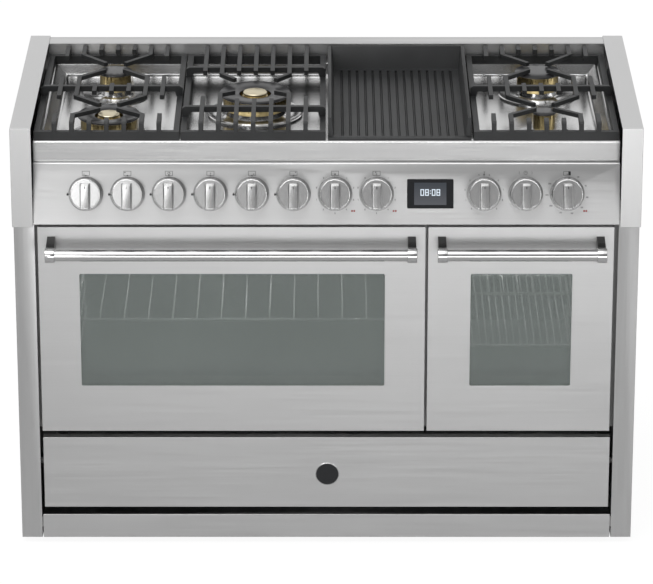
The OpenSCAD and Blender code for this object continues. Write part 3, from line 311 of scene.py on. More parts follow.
def plainSurface(name, colour, rough, metallic=0.0, speck=300, height=0.00002, variation=0.06, **sockets):
    # even surface: fine specks move colour, gloss and height a little round their plain values
    material, tree, shader = newMaterial(name, Metallic=metallic, **sockets)
    specks = noise(tree, (speck,) * 3, 2.0, 0.5)
    dark, light = [c * (1 - variation) for c in colour], [min(1, c * (1 + variation)) for c in colour]
    tree.links.new(mixColour(tree, ramp(tree, specks, 0, 1), dark, light), shader.inputs["Base Color"])
    tree.links.new(ramp(tree, specks, rough * 0.9, min(1, rough * 1.1)), shader.inputs["Roughness"])
    bump(tree, shader, specks, 0.2, height)
    return material


grainX, grainZ = (5, 700, 700), (700, 700, 5)
steelX = grainedMetal("brushed steel along X", 0.66, 0.34, grainX, 0.000012, 0.025,
                      Anisotropic=0.55, Anisotropic_Rotation=0.25)
steelZ = grainedMetal("brushed steel along Z", 0.70, 0.36, grainZ, 0.000012, 0.025)
hobSteel = grainedMetal("satin hob steel", 0.70, 0.20, (6, 260, 260), 0.00003, 0.04)
innerSteel = grainedMetal("inner sheet steel", 0.45, 0.38, grainX)
polished = grainedMetal("polished steel", 0.78, 0.10, (8, 900, 900), 0.00001, 0.02)
knobSteel = grainedMetal("knob steel", 0.74, 0.22, (900, 900, 6), 0.00001, 0.02)
# a darker copy of the knob steel for the sides of the skirts and grips: painted shade
knobWallShade = grainedMetal("knob wall painted shade", 0.22, 0.25, (300, 300, 300), 0.00001, 0.04)
aluminium = grainedMetal("burner aluminium", 0.62, 0.30, (400, 400, 400), 0.00004, 0.06)
brass = grainedMetal("burner brass", 0.52, 0.30, (300, 300, 60), 0.00002, 0.05, (1.0, 0.80, 0.40), 30)
paleBrass = grainedMetal("brass cap", 0.80, 0.34, (300, 300, 300), 0.00002, 0.03, (1.0, 0.90, 0.66), 40)
castIron = castSurface("cast iron", (0.022, 0.023, 0.024), 0.50)
griddleIron = castSurface("griddle iron", (0.024, 0.025, 0.026), 0.52, 700, 0.0001)
enamel = castSurface("black burner enamel", (0.028, 0.028, 0.030), 0.34, 500, 0.00006, 0.3)
ovenEnamel = castSurface("oven enamel", (0.055, 0.060, 0.060), 0.40, 400, 0.00005, 0.2)
wireChrome = plainSurface("shelf wire", (0.86, 0.86, 0.86), 0.25, 0.35)
elementDark = plainSurface("element tube", (0.07, 0.07, 0.075), 0.5, 0.3)
blackRubber = plainSurface("seal rubber", (0.02, 0.02, 0.02), 0.7)
blackPlastic = plainSurface("black plastic", (0.025, 0.025, 0.027), 0.45)
ceramic = plainSurface("plug ceramic", (0.82, 0.80, 0.76), 0.25)
displayBlack = plainSurface("display frame", (0.012, 0.013, 0.015), 0.12, Coat_Weight=0.5)
printBlack = plainSurface("black print", (0.015, 0.015, 0.016), 0.5)
dishMetal = grainedMetal("bright burner dish", 0.78, 0.17, (300, 300, 300), 0.00002, 0.04)
postMetal = grainedMetal("dark handle post", 0.16, 0.30, (500, 500, 500), 0.00003, 0.08)
lampRed = plainSurface("red lamp", (0.35, 0.03, 0.02), 0.3)


def glassSurface(name, colour, rough, metallic, alpha):
    # tinted pane whose colour and gloss vary a little in broad soft clouds
    material, tree, shader = newMaterial(name, Metallic=metallic, Alpha=alpha)
    clouds = noise(tree, (3, 3, 3), 2.0, 0.5)
    dark, light = [c * 0.95 for c in colour], [c * 1.05 for c in colour]
    tree.links.new(mixColour(tree, ramp(tree, clouds, 0, 1), dark, light), shader.inputs["Base Color"])
    tree.links.new(ramp(tree, clouds, rough * 0.9, rough * 1.1), shader.inputs["Roughness"])
    return material


def glowSurface(name, colour, strength, rough=0.3, lower=None, lowZ=0.0, highZ=1.0):
    # glowing surface, its glow running from lower to colour along the height; for the display's lit figures
    # it is their own light, for the screen's glass it is a painted sheen
    material, tree, shader = newMaterial(name, Roughness=rough)
    coords = addNode(tree, "ShaderNodeTexCoord")
    parts = addNode(tree, "ShaderNodeSeparateXYZ")
    tree.links.new(coords.outputs["Object"], parts.inputs[0])
    blend = mixColour(tree, ramp(tree, parts.outputs["Z"], 0, 1, lowZ, highZ), lower or colour, colour)
    shader.inputs["Base Color"].default_value = (0.02, 0.02, 0.022, 1)
    tree.links.new(blend, shader.inputs["Emission Color"])
    shader.inputs["Emission Strength"].default_value = strength
    return material


windowGlass = glassSurface("window glass", (0.46, 0.51, 0.49), 0.12, 0.7, 0.42)
# the screen's glass glows dark grey-blue, lighter towards its lower edge: a painted sheen
screenSheenGlow = glowSurface("screen", (0.035, 0.042, 0.050), 1.0, 0.15, (0.085, 0.088, 0.098), 0.712, 0.752)
litFigures = glowSurface("lit figures", (0.80, 0.90, 1.0), 0.95)
print("materials made")


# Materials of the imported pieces, and rounded copies of some of them

plainNodes = {"side_panel_left": steelZ, "side_panel_right": steelZ, "back_panel": steelX,
              "base_pan": innerSteel, "plinth": steelX, "feet": blackPlastic, "control_panel": steelX,
              "oven_surround": innerSteel, "large_oven_cavity": ovenEnamel, "small_oven_cavity": ovenEnamel,
              "shelf_ladders": wireChrome, "oven_shelves": wireChrome, "heating_elements": elementDark,
              "fan_covers": ovenEnamel, "door_seals": blackRubber, "burner_cups": dishMetal,
              "burner_crowns": brass, "burner_caps": enamel, "wok_centre_caps": paleBrass,
              "spark_plugs": ceramic, "gas_manifold": aluminium, "gas_taps": brass,
              "selector_switches": blackPlastic, "display_unit": displayBlack, "drawer_runners": aluminium,
              "hob_top": hobSteel, "griddle_plate": griddleIron, "drawer_box": aluminium,
              "large_door_glass": windowGlass, "small_door_glass": windowGlass}
slotMaterials = {"body_steel": steelX, "inner_steel": innerSteel, "cast_iron": castIron,
                 "knob_metal": knobSteel, "handle_chrome": polished}
for name, node in nodes.items():
    node.data.materials.clear()
    node.data.materials.append(plainNodes.get(name) or slotMaterials.get(slotOf[name], aluminium))

rounded = {"side_panel_left": 0.0011, "side_panel_right": 0.0011, "plinth": 0.0008, "control_panel": 0.0006,
           "large_door_panel": 0.0008, "small_door_panel": 0.0008, "drawer_front": 0.0008,
           "large_door_liner": 0.0005, "small_door_liner": 0.0005,
           "pan_support_left": 0.0011, "pan_support_middle": 0.0011, "pan_support_right": 0.0011,
           "griddle_plate": 0.0009, "burner_cups": 0.0003, "burner_crowns": 0.0002, "burner_caps": 0.0004,
           "wok_centre_caps": 0.0003, "back_panel": 0.0005}
for name, width in rounded.items():
    softCopy(name, plainNodes.get(name) or slotMaterials.get(slotOf[name], steelX), width)
print("rounded copies made")


# Hob top, one folded sheet

hob = {"top": 0.831, "ledge": 0.015, "slope": 0.020, "frontFloor": 0.027, "rearLedge": 0.006,
       "rearFloor": 0.011, "depth": 0.025, "edge": 0.003, "sheet": 0.0015, "inner": 0.030, "seam": 0.0004}


def folded(keys, shares, steps=7, lead=0.02):
    # polyline through the keys with each inner corner turned into a quadratic curve from start to end,
    # and one more point just before and after it, which keeps the flats flat
    keys = [np.array(key, float) for key in keys]
    path = [keys[0]]
    for before, corner, after, (back, ahead) in zip(keys, keys[1:], keys[2:], shares):
        start, end = corner + (before - corner) * back, corner + (after - corner) * ahead
        path.append(start + (before - corner) * lead)
        for t in np.linspace(0, 1, steps):
            path.append((1 - t) ** 2 * start + 2 * t * (1 - t) * corner + t ** 2 * end)
        path.append(end + (after - corner) * lead)
    path.append(keys[-1])
    return path


def makeHob():
    # rings of four corners, each given by its half width, front, rear and height, from the rim down the slope
    # to the floor; the apron is an arc over the front edge and the flat below it
    low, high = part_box("hob_top")
    top, edge, seam = hob["top"], hob["edge"], hob["seam"]
    half, y0, y1 = high.x, low.y, high.y
    ledge, slope, inner, floor = hob["ledge"], hob["slope"], hob["inner"], top - hob["depth"]
    frontFloor, rearFloor = hob["frontFloor"], hob["rearFloor"]
    keys = [(half, y0 + edge, y1, top), (half - seam, y0 + edge + seam, y1 - seam, top),
            (half - ledge, y0 + ledge, y1 - hob["rearLedge"], top),
            (half - ledge - slope, y0 + frontFloor, y1 - rearFloor, floor),
            (half - ledge - slope - inner, y0 + frontFloor + inner, y1 - rearFloor - inner, floor)]
    rings = [[(-x, front, z), (x, front, z), (x, rear, z), (-x, rear, z)]
             for x, front, rear, z in [keys[0]] + folded(keys[1:], [(0.22, 0.12), (0.2, 0.2)])]
    count = len(rings)
    sheet = (np.array(rings).transpose(1, 0, 2).reshape(-1, 3),
             gridFaces(4, count).tolist() + [[k * count + count - 1 for k in range(4)]])
    turn = arc(y0 + edge, top - edge, edge, 90, 180, 8) + [(y0, top - edge - seam), (y0, low.z)]
    apron = (np.array([[(-half, y, z), (half, y, z)] for y, z in turn]).reshape(-1, 3),
             [[2 * k, 2 * k + 1, 2 * k + 3, 2 * k + 2] for k in range(len(turn) - 1)])
    mesh = newMesh("hob_sheet", [sheet, apron])
    piece = newPiece("hob_sheet", mesh, hobSteel, "cooker_body", ["hob_top"], 40, True)
    if sum(face.area * face.normal.z for face in mesh.polygons) < 0:
        mesh.flip_normals()
    thick = piece.modifiers.new("sheet", "SOLIDIFY")
    thick.thickness, thick.offset = hob["sheet"], -1


makeHob()
print("hob made")


# Places on the slanted panel: along X, up the face, out of the face

panel = {"topY": 0.040, "bottomY": 0.005, "topZ": 0.790, "bottomZ": 0.678}
slant = math.atan2(panel["topY"] - panel["bottomY"], panel["topZ"] - panel["bottomZ"])
panelUp = np.array([0, math.sin(slant), math.cos(slant)])
panelOut = np.array([0, -math.cos(slant), math.sin(slant)])
panelMiddle = np.array([0, frontY + (panel["topY"] + panel["bottomY"]) / 2,
                        (panel["topZ"] + panel["bottomZ"]) / 2])


def onPanel(x, up, out):
    # the panel's middle plus x along X, up along the face and out along its normal
    x, up, out = np.broadcast_arrays(np.asarray(x, float), up, out)
    return (panelMiddle + x[..., None] * np.array([1.0, 0, 0]) + up[..., None] * panelUp
            + out[..., None] * panelOut)


def panelPlate(outline, low, high):
    # flat outline of (x, up) points on the panel, between two heights
    flat = np.array(outline, float)
    count = len(flat)
    points = np.stack([onPanel(flat[:, 0], flat[:, 1], height) for height in (low, high)], 1)
    faces = gridFaces(count, 2).tolist()
    return points.reshape(-1, 3), faces + [[k * 2 for k in range(count)], [k * 2 + 1 for k in range(count)]]


def panelBar(x0, x1, up0, up1, low, high):
    return panelPlate([(x0, up0), (x1, up0), (x1, up1), (x0, up1)], low, high)


def disc(x, up, radius, count=20):
    angle = np.linspace(0, 2 * math.pi, count, endpoint=False)
    return np.stack([x + radius * np.cos(angle), up + radius * np.sin(angle)], -1)


def frameBars(x, up, width, height, line, low, high):
    # four bars round a rectangle
    left, right, bottom, upper = x - width / 2, x + width / 2, up - height / 2, up + height / 2
    return [panelBar(left, right, bottom, bottom + line, low, high),
            panelBar(left, right, upper - line, upper, low, high),
            panelBar(left, left + line, bottom + line, upper - line, low, high),
            panelBar(right - line, right, bottom + line, upper - line, low, high)]


# the seven bars of a figure: a is the top one, b to f run on clockwise, g is the middle one
segments = {"0": "abcdef", "1": "bc", "2": "abged", "3": "abgcd", "4": "fgbc", "5": "afgcd", "6": "afgedc",
            "7": "abc", "8": "abcdefg", "9": "abcdfg"}


# width as a share of the height; gap and colon as shares of the line; levels of the colon's two dots
figureShape = {"width": 0.56, "gap": 1.15, "colon": 1.1, "levels": (0.28, 0.66)}


def digitBars(text, x, up, height, line, low, high):
    # figures drawn with straight strokes, centred on (x, up)
    width, colon, gap = height * figureShape["width"], line * figureShape["colon"], line * figureShape["gap"]
    step = width + gap
    total = sum(step if mark != ":" else colon + colon for mark in text) - gap
    parts, left = [], x - total / 2
    bottom = up - height / 2
    for mark in text:
        if mark == ":":
            for level in figureShape["levels"]:
                foot = bottom + height * level
                parts.append(panelBar(left, left + colon, foot, foot + colon, low, high))
            left += colon + colon
            continue
        right, middle = left + width, bottom + height / 2
        upper = bottom + height
        bars = {"a": (left, right, upper - line, upper), "d": (left, right, bottom, bottom + line),
                "g": (left, right, middle - line / 2, middle + line / 2),
                "f": (left, left + line, middle, upper), "b": (right - line, right, middle, upper),
                "e": (left, left + line, bottom, middle), "c": (right - line, right, bottom, middle)}
        parts += [panelBar(*bars[key], low, high) for key in segments[mark]]
        left += step
    return parts


# Knobs

knob = {"gap": 0.0045, "radius": 0.033, "face": 0.0295, "body": 0.0305, "top": 0.047, "footFlat": 0.002,
        "footRound": 0.0012, "wallEnd": 0.0016, "wallLean": 0.0003, "edgeIn": 0.0010, "faceEdge": 0.0006,
        "rimIn": 0.0022, "rimSink": 0.0001, "faceRim": 0.0027, "dish": 0.0004, "sink": 0.0008,
        "gripHalf": 0.008, "cove": 0.004, "gripLow": -0.0282, "gripHigh": 0.021, "leanMiddle": 0.0020,
        "leanTop": 0.0036, "gripCorner": 0.0006, "topRound": 0.0014, "spindle": 0.004, "spindleEnd": -0.040,
        "spindleIn": 0.001, "indexLine": 0.0014, "indexLow": 0.0105, "indexHigh": 0.0150,
        "indexSink": 0.0002, "indexRise": 0.00006}
knobNodes = (["gas_knob_%d" % k for k in range(1, 7)]
             + ["griddle_knob_front", "griddle_knob_rear", "thermostat_knob", "timer_knob", "function_knob"])
knobPlaces = [sum(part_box(name)[k].x for k in (0, 1)) / 2 for name in knobNodes]


def knobRim():
    # outline of the skirt, which narrows to a rounded edge, and of the faintly dished face
    gap, radius, face, body = knob["gap"], knob["radius"], knob["face"], knob["body"]
    foot, edge, dish = knob["footRound"], knob["faceEdge"], knob["dish"]
    rim = [(0, gap), (radius - knob["footFlat"], gap)] + arc(radius - foot, gap + foot, foot, -90, 0, 5)
    rim += [(face, body - knob["wallEnd"]), (face - knob["wallLean"], body - edge)]
    rim += arc(face - knob["edgeIn"], body - edge, edge, 20, 90, 4)
    rim += [(face - knob["rimIn"], body - knob["rimSink"]), (face - knob["faceRim"], body - dish)]
    return rim + [(0, body - dish)]


def knobGrip(x, base):
    # rounded rectangles one over the other: their half width falls by a quarter circle at the foot, stays
    # even, and falls by a small quarter circle at the top, where the upper end also leans back
    half, low, high, top = knob["gripHalf"], knob["gripLow"], knob["gripHigh"], knob["top"]
    cove, soft = knob["cove"], knob["topRound"]
    loops = []
    for a in np.radians(np.linspace(0, 90, 9)):
        loops.append((half + cove * (1 - math.sin(a)), low, high, base + cove * (1 - math.cos(a))))
    loops.append((half, low, high - knob["leanMiddle"], (base + cove + top) / 2))
    for a in np.radians(np.linspace(0, 90, 7)):
        pull, rise = soft * (1 - math.cos(a)), soft * math.sin(a)
        loops.append((half - pull, low + pull, high - knob["leanTop"] - pull, top - soft + rise))
    return rectLoft([(x - w, x + w, front, back, knob["gripCorner"], out) for w, front, back, out in loops],
                    onPanel, perCorner=4)


def makeKnob(name, x):
    # the sides of the skirt and of the grip take a darker copy of the knob steel, a painted shade; the rest
    # is bright
    base = knob["body"] - knob["sink"]
    spindle, end, top = knob["spindle"], knob["spindleEnd"], knob["gap"] + knob["spindleIn"]
    middle = onPanel(x, 0, 0)
    parts = [revolved(knobRim(), middle, panelOut, 96), knobGrip(x, base)]
    if name.startswith(("griddle", "thermostat", "function")):
        parts.append(revolved([(0, end), (spindle, end), (spindle, top), (0, top)], middle, panelOut, 32))
    mesh = newMesh(name + "_turned", parts)
    newPiece(name + "_turned", mesh, [knobSteel, knobWallShade], bodyOf[name], [name], 28)
    for polygon in mesh.polygons:
        offset = np.array(polygon.center) - middle
        out = offset @ panelOut
        side = abs(np.array(polygon.normal) @ panelOut) < 0.5
        onGrip = abs(offset[0]) > knob["gripHalf"] * 0.8 and out > knob["body"] + knob["cove"] * 0.6
        if side and (out < base or onGrip):
            polygon.material_index = 1
    half, height = knob["indexLine"] / 2, knob["top"]
    mark = panelBar(x - half, x + half, knob["indexLow"], knob["indexHigh"],
                    height - knob["indexSink"], height + knob["indexRise"])
    newPiece(name + "_index", newMesh(name + "_index", [mark]), printBlack, bodyOf[name])


for name, x in zip(knobNodes, knobPlaces):
    makeKnob(name, x)
print("knobs made")


# Marks on the panel, lamps and display

marks = {"low": 0.0, "high": 0.00012, "line": 0.0007, "symbolUp": 0.039, "symbolWidth": 0.0145,
         "symbolHeight": 0.0088, "burner": 0.0010, "wokOuter": 0.0026, "wokInner": 0.0018, "dotUp": 0.0349,
         "dot": 0.0012, "flameAside": 0.0352, "flameDown": 0.001, "scaleRadius": 0.0372, "scaleLine": 0.00045,
         "scaleFigure": 0.0030, "ovenFigure": 0.0026, "wideFigureOut": 0.0012}
lampMark = {"asides": (0.0310, 0.0352), "side": 0.0031, "low": -0.0345, "high": -0.0312}
clockMark = {"up": 0.040, "outer": 0.0036, "inner": 0.0030, "bend": 0.0022, "bendHeight": 0.0034,
             "outerBend": 0.0105, "innerBend": 0.0100, "bendAngle": 1.1, "halfLine": 0.0003,
             "longHand": 0.0024, "shortHand": 0.0018, "foot": 0.0012, "footLow": 0.0322, "footHigh": 0.0327}
thermometer = {"stem": 0.0004, "stemLow": 0.0365, "stemHigh": 0.0430, "bulb": 0.0015, "bulbUp": 0.0362,
               "ticks": ((0.0010, 0.0024, 0.0420, 0.0424), (0.0010, 0.0020, 0.0402, 0.0406))}
ovenMark = {"aside": 0.0010, "width": 0.0125, "height": 0.0080, "filled": (0.0022, 0.0068, 0.0352, 0.0428)}
low, high, line, symbolUp = marks["low"], marks["high"], marks["line"], marks["symbolUp"]
prints, lamps = [], []
# each burner's dot in its frame, from the frame's middle; the wok burner has a ring
burnerDots = [(-0.0035, -0.0015), (-0.0045, 0.0015), None, (0.0, 0.0), (0.0035, -0.0015), (0.0040, 0.0020),
              (0.0, -0.0020), (-0.0015, 0.0020)]
flame = [(0, 0.0032), (0.0016, 0.0006), (0.0019, -0.0012), (0.0009, -0.0026), (-0.0009, -0.0026),
         (-0.0019, -0.0012), (-0.0016, 0.0006)]
tenFigures = list("0123456789")
ovenDegrees = ["0"] + [str(degrees) for degrees in range(50, 251, 25)]


def printBar(left, right, bottom, upper):
    prints.append(panelBar(left, right, bottom, upper, low, high))


def printOutline(outline):
    prints.append(panelPlate(outline, low, high))


def printRing(x, up, outerRadius, innerRadius, count):
    # ring between two circles, a small plate for each step round it
    outer, inner = disc(x, up, outerRadius, count), disc(x, up, innerRadius, count)
    for a in range(count):
        b = (a + 1) % count
        printOutline([outer[a], outer[b], inner[b], inner[a]])


def scaleRound(x, figures, start, end, height=marks["scaleFigure"]):
    # figures on an arc round a knob, in degrees from the top
    for figure, angle in zip(figures, np.radians(np.linspace(start, end, len(figures)))):
        reach = marks["scaleRadius"] + (marks["wideFigureOut"] if len(figure) > 1 else 0)
        across, up = x + reach * math.sin(angle), reach * math.cos(angle)
        prints.extend(digitBars(figure, across, up, height, marks["scaleLine"], low, high))


for k, x in enumerate(knobPlaces[:8]):
    prints += frameBars(x, symbolUp, marks["symbolWidth"], marks["symbolHeight"], line, low, high)
    if burnerDots[k]:
        aside, over = burnerDots[k]
        printOutline(disc(x + aside, symbolUp + over, marks["burner"], 12))
    else:
        printRing(x, symbolUp, marks["wokOuter"], marks["wokInner"], 24)
    if k < 6:
        printOutline(disc(x, marks["dotUp"], marks["dot"], 16))
        printOutline([(x - marks["flameAside"] + dx, dy - marks["flameDown"]) for dx, dy in flame])
for k in (6, 7):
    scaleRound(knobPlaces[k], tenFigures, 0, 324)
scaleRound(knobPlaces[8], tenFigures, -140, 140)
scaleRound(knobPlaces[10], ovenDegrees, 0, 300, marks["ovenFigure"])

# a thermometer over the thermostat's knob
x = knobPlaces[8]
printBar(x - thermometer["stem"], x + thermometer["stem"], thermometer["stemLow"], thermometer["stemHigh"])
printOutline(disc(x, thermometer["bulbUp"], thermometer["bulb"], 14))
for left, right, bottom, upper in thermometer["ticks"]:
    printBar(x + left, x + right, bottom, upper)

# a ringing clock over the timer's knob
x, clockUp, halfLine = knobPlaces[9], clockMark["up"], clockMark["halfLine"]
printRing(x, clockUp, clockMark["outer"], clockMark["inner"], 28)
printBar(x - halfLine, x + halfLine, clockUp, clockUp + clockMark["longHand"])
printBar(x, x + clockMark["shortHand"], clockUp - halfLine, clockUp + halfLine)
turns = np.linspace(-clockMark["bendAngle"], clockMark["bendAngle"], 9)
for side in (-1, 1):
    # a thin sickle: one curve out and another back, each a part of an ellipse
    sickle = []
    for reach, angles in ((clockMark["outerBend"], turns), (clockMark["innerBend"], turns[::-1])):
        for a in angles:
            across = reach + clockMark["bend"] * math.cos(a)
            sickle.append((x + side * across, clockUp + clockMark["bendHeight"] * math.sin(a)))
    printOutline(sickle)
printBar(x - clockMark["foot"], x + clockMark["foot"], clockMark["footLow"], clockMark["footHigh"])

# an oven's frame and its filled side over the function knob
x = knobPlaces[10]
left, right, bottom, upper = ovenMark["filled"]
prints += frameBars(x - ovenMark["aside"], symbolUp, ovenMark["width"], ovenMark["height"], line, low, high)
printBar(x + left, x + right, bottom, upper)

for k in (6, 7, 10):
    for aside in lampMark["asides"]:
        left = knobPlaces[k] + aside
        lamps.append(panelBar(left, left + lampMark["side"], lampMark["low"], lampMark["high"], low, high))
newPiece("panel_marks", newMesh("panel_marks", prints), printBlack, "cooker_body")
newPiece("panel_lamps", newMesh("panel_lamps", lamps), lampRed, "cooker_body")

screen = {"width": 0.0886, "height": 0.056, "radius": 0.0018, "high": 0.0015, "glassWidth": 0.062,
          "glassHeight": 0.043, "glassRadius": 0.0008, "recess": 0.0005, "neck": 0.004, "neckDepth": 0.022,
          "neckRadius": 0.001, "edge": 0.0004, "layer": 0.0002, "figureUp": 0.0025, "figure": 0.0125,
          "figureLine": 0.0017}


def makeDisplay():
    # rounded rectangles from the neck in the panel out to the frame's front and in to the recess of the glass
    x = sum(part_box("display_unit")[k].x for k in (0, 1)) / 2
    w, h = screen["width"] / 2, screen["height"] / 2
    gw, gh = screen["glassWidth"] / 2, screen["glassHeight"] / 2
    top, recess, edge, layer = screen["high"], screen["recess"], screen["edge"], screen["layer"]
    neck, radius, neckRadius = screen["neck"], screen["radius"], screen["neckRadius"]
    sizes = [(w - neck, h - neck, neckRadius, -screen["neckDepth"]), (w - neck, h - neck, neckRadius, 0.0),
             (w, h, radius, 0.0), (w, h, radius, top - edge), (w - edge, h - edge, radius, top),
             (gw + edge, gh + edge, neckRadius, top), (gw, gh, screen["glassRadius"], top - recess)]
    loops = [(x - across, x + across, -up, up, corner, depth) for across, up, corner, depth in sizes]
    frameMesh = newMesh("display_frame", [rectLoft(loops, onPanel)])
    newPiece("display_frame", frameMesh, displayBlack, "cooker_body", ["display_unit"], 30)
    floor = top - recess
    pane = panelBar(x - gw + layer, x + gw - layer, layer - gh, gh - layer, floor, floor + layer)
    # the screen's pane carries the painted sheen
    newPiece("display_screen", newMesh("display_screen", [pane]), screenSheenGlow, "cooker_body")
    figures = digitBars("08:08", x, screen["figureUp"], screen["figure"], screen["figureLine"],
                        floor + layer, floor + layer * 1.5)
    newPiece("display_figures", newMesh("display_figures", figures), litFigures, "cooker_body")


makeDisplay()
print("panel marks and display made")


# Door handles

handle = {"axisZ": 0.623, "bar": 0.0115, "collar": 0.0145, "collarWidth": 0.019, "edge": 0.0015,
          "faceStep": 0.0018, "postWidth": 0.016, "postHigh": 0.020, "postLow": 0.004, "tip": 0.003,
          "nose": 0.002, "postBevel": 0.0008}


def makeHandle(name, door):
    # bar and collars are turned about the bar's axis; a post is a wedge from the door to the bar's middle
    low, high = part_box(name)
    collar, width, edge = handle["collar"], handle["collarWidth"], handle["edge"]
    axisY, axisZ = low.y + collar, handle["axisZ"]
    barStart, barEnd = low.x + width / 2, high.x - width / 2
    profile = [(0, barStart), (handle["bar"], barStart), (handle["bar"], barEnd), (0, barEnd)]
    parts = [revolved(profile, (0, axisY, axisZ), (1, 0, 0), 96)]
    step = collar - edge - handle["faceStep"]
    ring = ([(0, 0.0), (step, 0.0)] + arc(collar - edge, edge, edge, 270, 360, 6)
            + arc(collar - edge, width - edge, edge, 0, 90, 6) + [(step, width), (0, width)])
    for start in (low.x, high.x - width):
        parts.append(revolved([(r, start + along) for r, along in ring], (0, axisY, axisZ), (1, 0, 0), 72))
    mesh = newMesh(name + "_bar", parts)
    newPiece(name + "_bar", mesh, polished, bodyOf[name], [name], 30)
    doorFront, nose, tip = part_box(door)[0].y, handle["nose"], collar - handle["tip"]
    profile = [(doorFront, axisZ + handle["postHigh"]), (axisY + nose, axisZ + tip), (axisY - nose, axisZ),
               (axisY + nose, axisZ - tip), (doorFront, axisZ - handle["postLow"])]
    half = handle["postWidth"] / 2
    posts = [swept(profile, place - half, place + half) for place in (barStart, barEnd)]
    piece = newPiece(name + "_posts", newMesh(name + "_posts", posts), postMetal, bodyOf[name],
                     [name], 30)
    rounding = piece.modifiers.new("edges", "BEVEL")
    rounding.width = handle["postBevel"]
    rounding.segments = 2
    rounding.limit_method = "ANGLE"


for name, door in (("large_door_handle", "large_door_panel"), ("small_door_handle", "small_door_panel")):
    makeHandle(name, door)
print("handles made")


# Bare disc on the drawer

badge = {"x": 0.0015, "z": 0.148, "radius": 0.0235, "ring": 0.0016, "thick": 0.0022, "edge": 0.0006,
         "gap": 0.00003, "discEdge": 0.0007, "shoulderAt": 0.6, "shoulder": 0.0004, "middle": 0.0003}


def makeBadge():
    # a ring with a rounded edge, and in it a disc that is raised a little in its middle, both turned about Y
    place = (badge["x"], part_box("drawer_front")[0].y, badge["z"])
    radius, thick, edge = badge["radius"], badge["thick"], badge["edge"]
    inner = radius - badge["ring"]
    rim = ([(inner, 0.0), (radius, 0.0), (radius, thick - edge)]
           + arc(radius - edge, thick - edge, edge, 0, 90, 5) + [(inner, thick)])
    face = [(0, 0.0), (inner - badge["gap"], 0.0), (inner - badge["gap"], thick - badge["discEdge"]),
            (radius * badge["shoulderAt"], thick - badge["shoulder"]), (0, thick - badge["middle"])]
    body = bodyOf["drawer_front"]
    ringMesh = newMesh("badge_ring", [revolved(rim, place, (0, -1, 0), 96, True)])
    newPiece("badge_ring", ringMesh, polished, body)
    discMesh = newMesh("badge_disc", [revolved(face, place, (0, -1, 0), 96)])
    newPiece("badge_disc", discMesh, displayBlack, body)


makeBadge()
print("disc made")


# Camera, floor and light

camera = {"lens": 222, "sensor": 36, "farEnd": 100, "place": (0.0, -7.514, 3.274), "tilt": 69.3}
studio = {"floorTone": 0.42, "floorSize": 30.0, "whiteShare": 0.74, "white": 1.25, "glow": 3.2,
          "sideBlend": 0.13, "rearBlend": 0.08,
          "leftBands": [(-1.0, 0.225), (0.0, 0.225), (0.06, 0.18), (0.12, 0.08), (0.64, 0.10), (0.73, 1.0),
                        (1.0, 1.0)],
          "rightBands": [(-1.0, 0.225), (0.0, 0.225), (0.06, 0.18), (0.12, 0.07), (0.64, 0.06), (0.73, 0.34),
                         (1.0, 0.34)],
          "rearBands": [(-1.0, 0.27), (0.55, 0.27), (0.70, 0.10), (1.0, 0.10)]}
# each light's place, the point it faces, its width, height and power
lights = {"left light": ((-1.35, -4.0, 1.9), (-0.6, 0, 0.7), 1.3, 1.0, 10),
          "low front light": ((0.5, -3.8, 0.45), (0.2, 0, 0.30), 3.0, 0.8, 25),
          "large oven lamp": ((-0.18, -0.06, 0.60), (-0.18, 0.10, 0.30), 0.5, 0.03, 2.2),
          "small oven lamp": ((0.375, -0.06, 0.60), (0.375, 0.10, 0.30), 0.24, 0.03, 1.1)}


def makeCamera():
    view = bpy.data.cameras.new("view")
    view.lens = camera["lens"]
    view.sensor_width = camera["sensor"]
    view.clip_end = camera["farEnd"]
    viewer = bpy.data.objects.new("view", view)
    viewer.location = camera["place"]
    viewer.rotation_euler = (math.radians(camera["tilt"]), 0, 0)
    bpy.context.scene.collection.objects.link(viewer)
    bpy.context.scene.camera = viewer


def cameraRay(tree):
    return addNode(tree, "ShaderNodeLightPath").outputs["Is Camera Ray"]


def makeFloor():
    # large plane; for the camera a share of it is white light, a little over 1 to make up for the rest, which
    # keeps the shadow
    half = studio["floorSize"]
    mesh = bpy.data.meshes.new("floor")
    corners = [(-half, -half, 0), (half, -half, 0), (half, half, 0), (-half, half, 0)]
    mesh.from_pydata(corners, [], [(0, 1, 2, 3)])
    floor = bpy.data.objects.new("floor", mesh)
    bpy.context.scene.collection.objects.link(floor)
    material, tree, shader = newMaterial("pale floor", Roughness=0.9)
    shader.inputs["Base Color"].default_value = (studio["floorTone"],) * 3 + (1,)
    shader.inputs["Specular IOR Level"].default_value = 0.0
    glow = addNode(tree, "ShaderNodeEmission")
    glow.inputs["Strength"].default_value = studio["white"]
    mixed = addNode(tree, "ShaderNodeMixShader")
    share = addNode(tree, "ShaderNodeMath", operation="MULTIPLY")
    share.inputs[1].default_value = studio["whiteShare"]
    tree.links.new(cameraRay(tree), share.inputs[0])
    tree.links.new(share.outputs[0], mixed.inputs["Fac"])
    tree.links.new(shader.outputs[0], mixed.inputs[1])
    tree.links.new(glow.outputs[0], mixed.inputs[2])
    tree.links.new(mixed.outputs[0], tree.nodes["Material Output"].inputs["Surface"])
    mesh.materials.append(material)
    floor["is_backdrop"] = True


def toneBands(tree, source, stops):
    # grey tones in bands over a value that runs from -1 to 1
    bands = addNode(tree, "ShaderNodeValToRGB")
    while len(bands.color_ramp.elements) < len(stops):
        bands.color_ramp.elements.new(0.5)
    for element, (place, tone) in zip(bands.color_ramp.elements, stops):
        element.position = (place + 1) / 2
        element.color = (tone, tone, tone, 1)
    tree.links.new(ramp(tree, source, 0, 1, -1, 1), bands.inputs["Fac"])
    return bands.outputs["Color"]


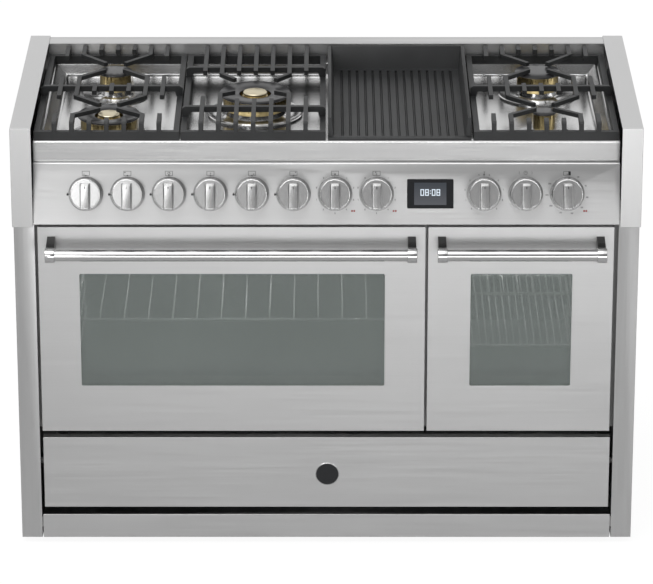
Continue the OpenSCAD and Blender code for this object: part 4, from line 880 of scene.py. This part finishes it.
def makeWorld():
    # white for the camera; elsewhere a pale studio: bands of tone over the height of the direction,
    # two sets in front of the cooker with a soft box overhead that is brighter on the left, one behind it
    world = bpy.data.worlds.new("studio")
    bpy.context.scene.world = world
    world.use_nodes = True
    tree = world.node_tree
    tree.nodes.clear()
    coords = addNode(tree, "ShaderNodeTexCoord")
    parts = addNode(tree, "ShaderNodeSeparateXYZ")
    tree.links.new(coords.outputs["Generated"], parts.inputs[0])
    left = toneBands(tree, parts.outputs["Z"], studio["leftBands"])
    right = toneBands(tree, parts.outputs["Z"], studio["rightBands"])
    rear = toneBands(tree, parts.outputs["Z"], studio["rearBands"])
    sides = addNode(tree, "ShaderNodeMix", data_type="RGBA")
    aside, behind = studio["sideBlend"], studio["rearBlend"]
    tree.links.new(ramp(tree, parts.outputs["X"], 0, 1, -aside, aside), sides.inputs["Factor"])
    tree.links.new(left, sides.inputs["A"])
    tree.links.new(right, sides.inputs["B"])
    tones = addNode(tree, "ShaderNodeMix", data_type="RGBA")
    tree.links.new(ramp(tree, parts.outputs["Y"], 0, 1, -behind, behind), tones.inputs["Factor"])
    tree.links.new(sides.outputs["Result"], tones.inputs["A"])
    tree.links.new(rear, tones.inputs["B"])
    lit = addNode(tree, "ShaderNodeBackground")
    tree.links.new(tones.outputs["Result"], lit.inputs["Color"])
    lit.inputs["Strength"].default_value = studio["glow"]
    white = addNode(tree, "ShaderNodeBackground")
    white.inputs["Color"].default_value = (1, 1, 1, 1)
    mixed = addNode(tree, "ShaderNodeMixShader")
    tree.links.new(cameraRay(tree), mixed.inputs["Fac"])
    tree.links.new(lit.outputs[0], mixed.inputs[1])
    tree.links.new(white.outputs[0], mixed.inputs[2])
    output = addNode(tree, "ShaderNodeOutputWorld")
    tree.links.new(mixed.outputs[0], output.inputs["Surface"])


def areaLight(name, place, aim, width, height, power):
    # a soft box turned to face a point, not seen by the camera
    data = bpy.data.lights.new(name, "AREA")
    data.shape = "RECTANGLE"
    data.size, data.size_y, data.energy = width, height, power
    lamp = bpy.data.objects.new(name, data)
    lamp.location = place
    lamp.rotation_euler = (Vector(aim) - Vector(place)).to_track_quat("-Z", "Y").to_euler()
    lamp.visible_camera = False
    bpy.context.scene.collection.objects.link(lamp)


makeCamera()
makeFloor()
makeWorld()
for name, values in lights.items():
    areaLight(name, *values)
bpy.context.scene.view_settings.view_transform = "Standard"
print("studio made")

low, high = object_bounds()
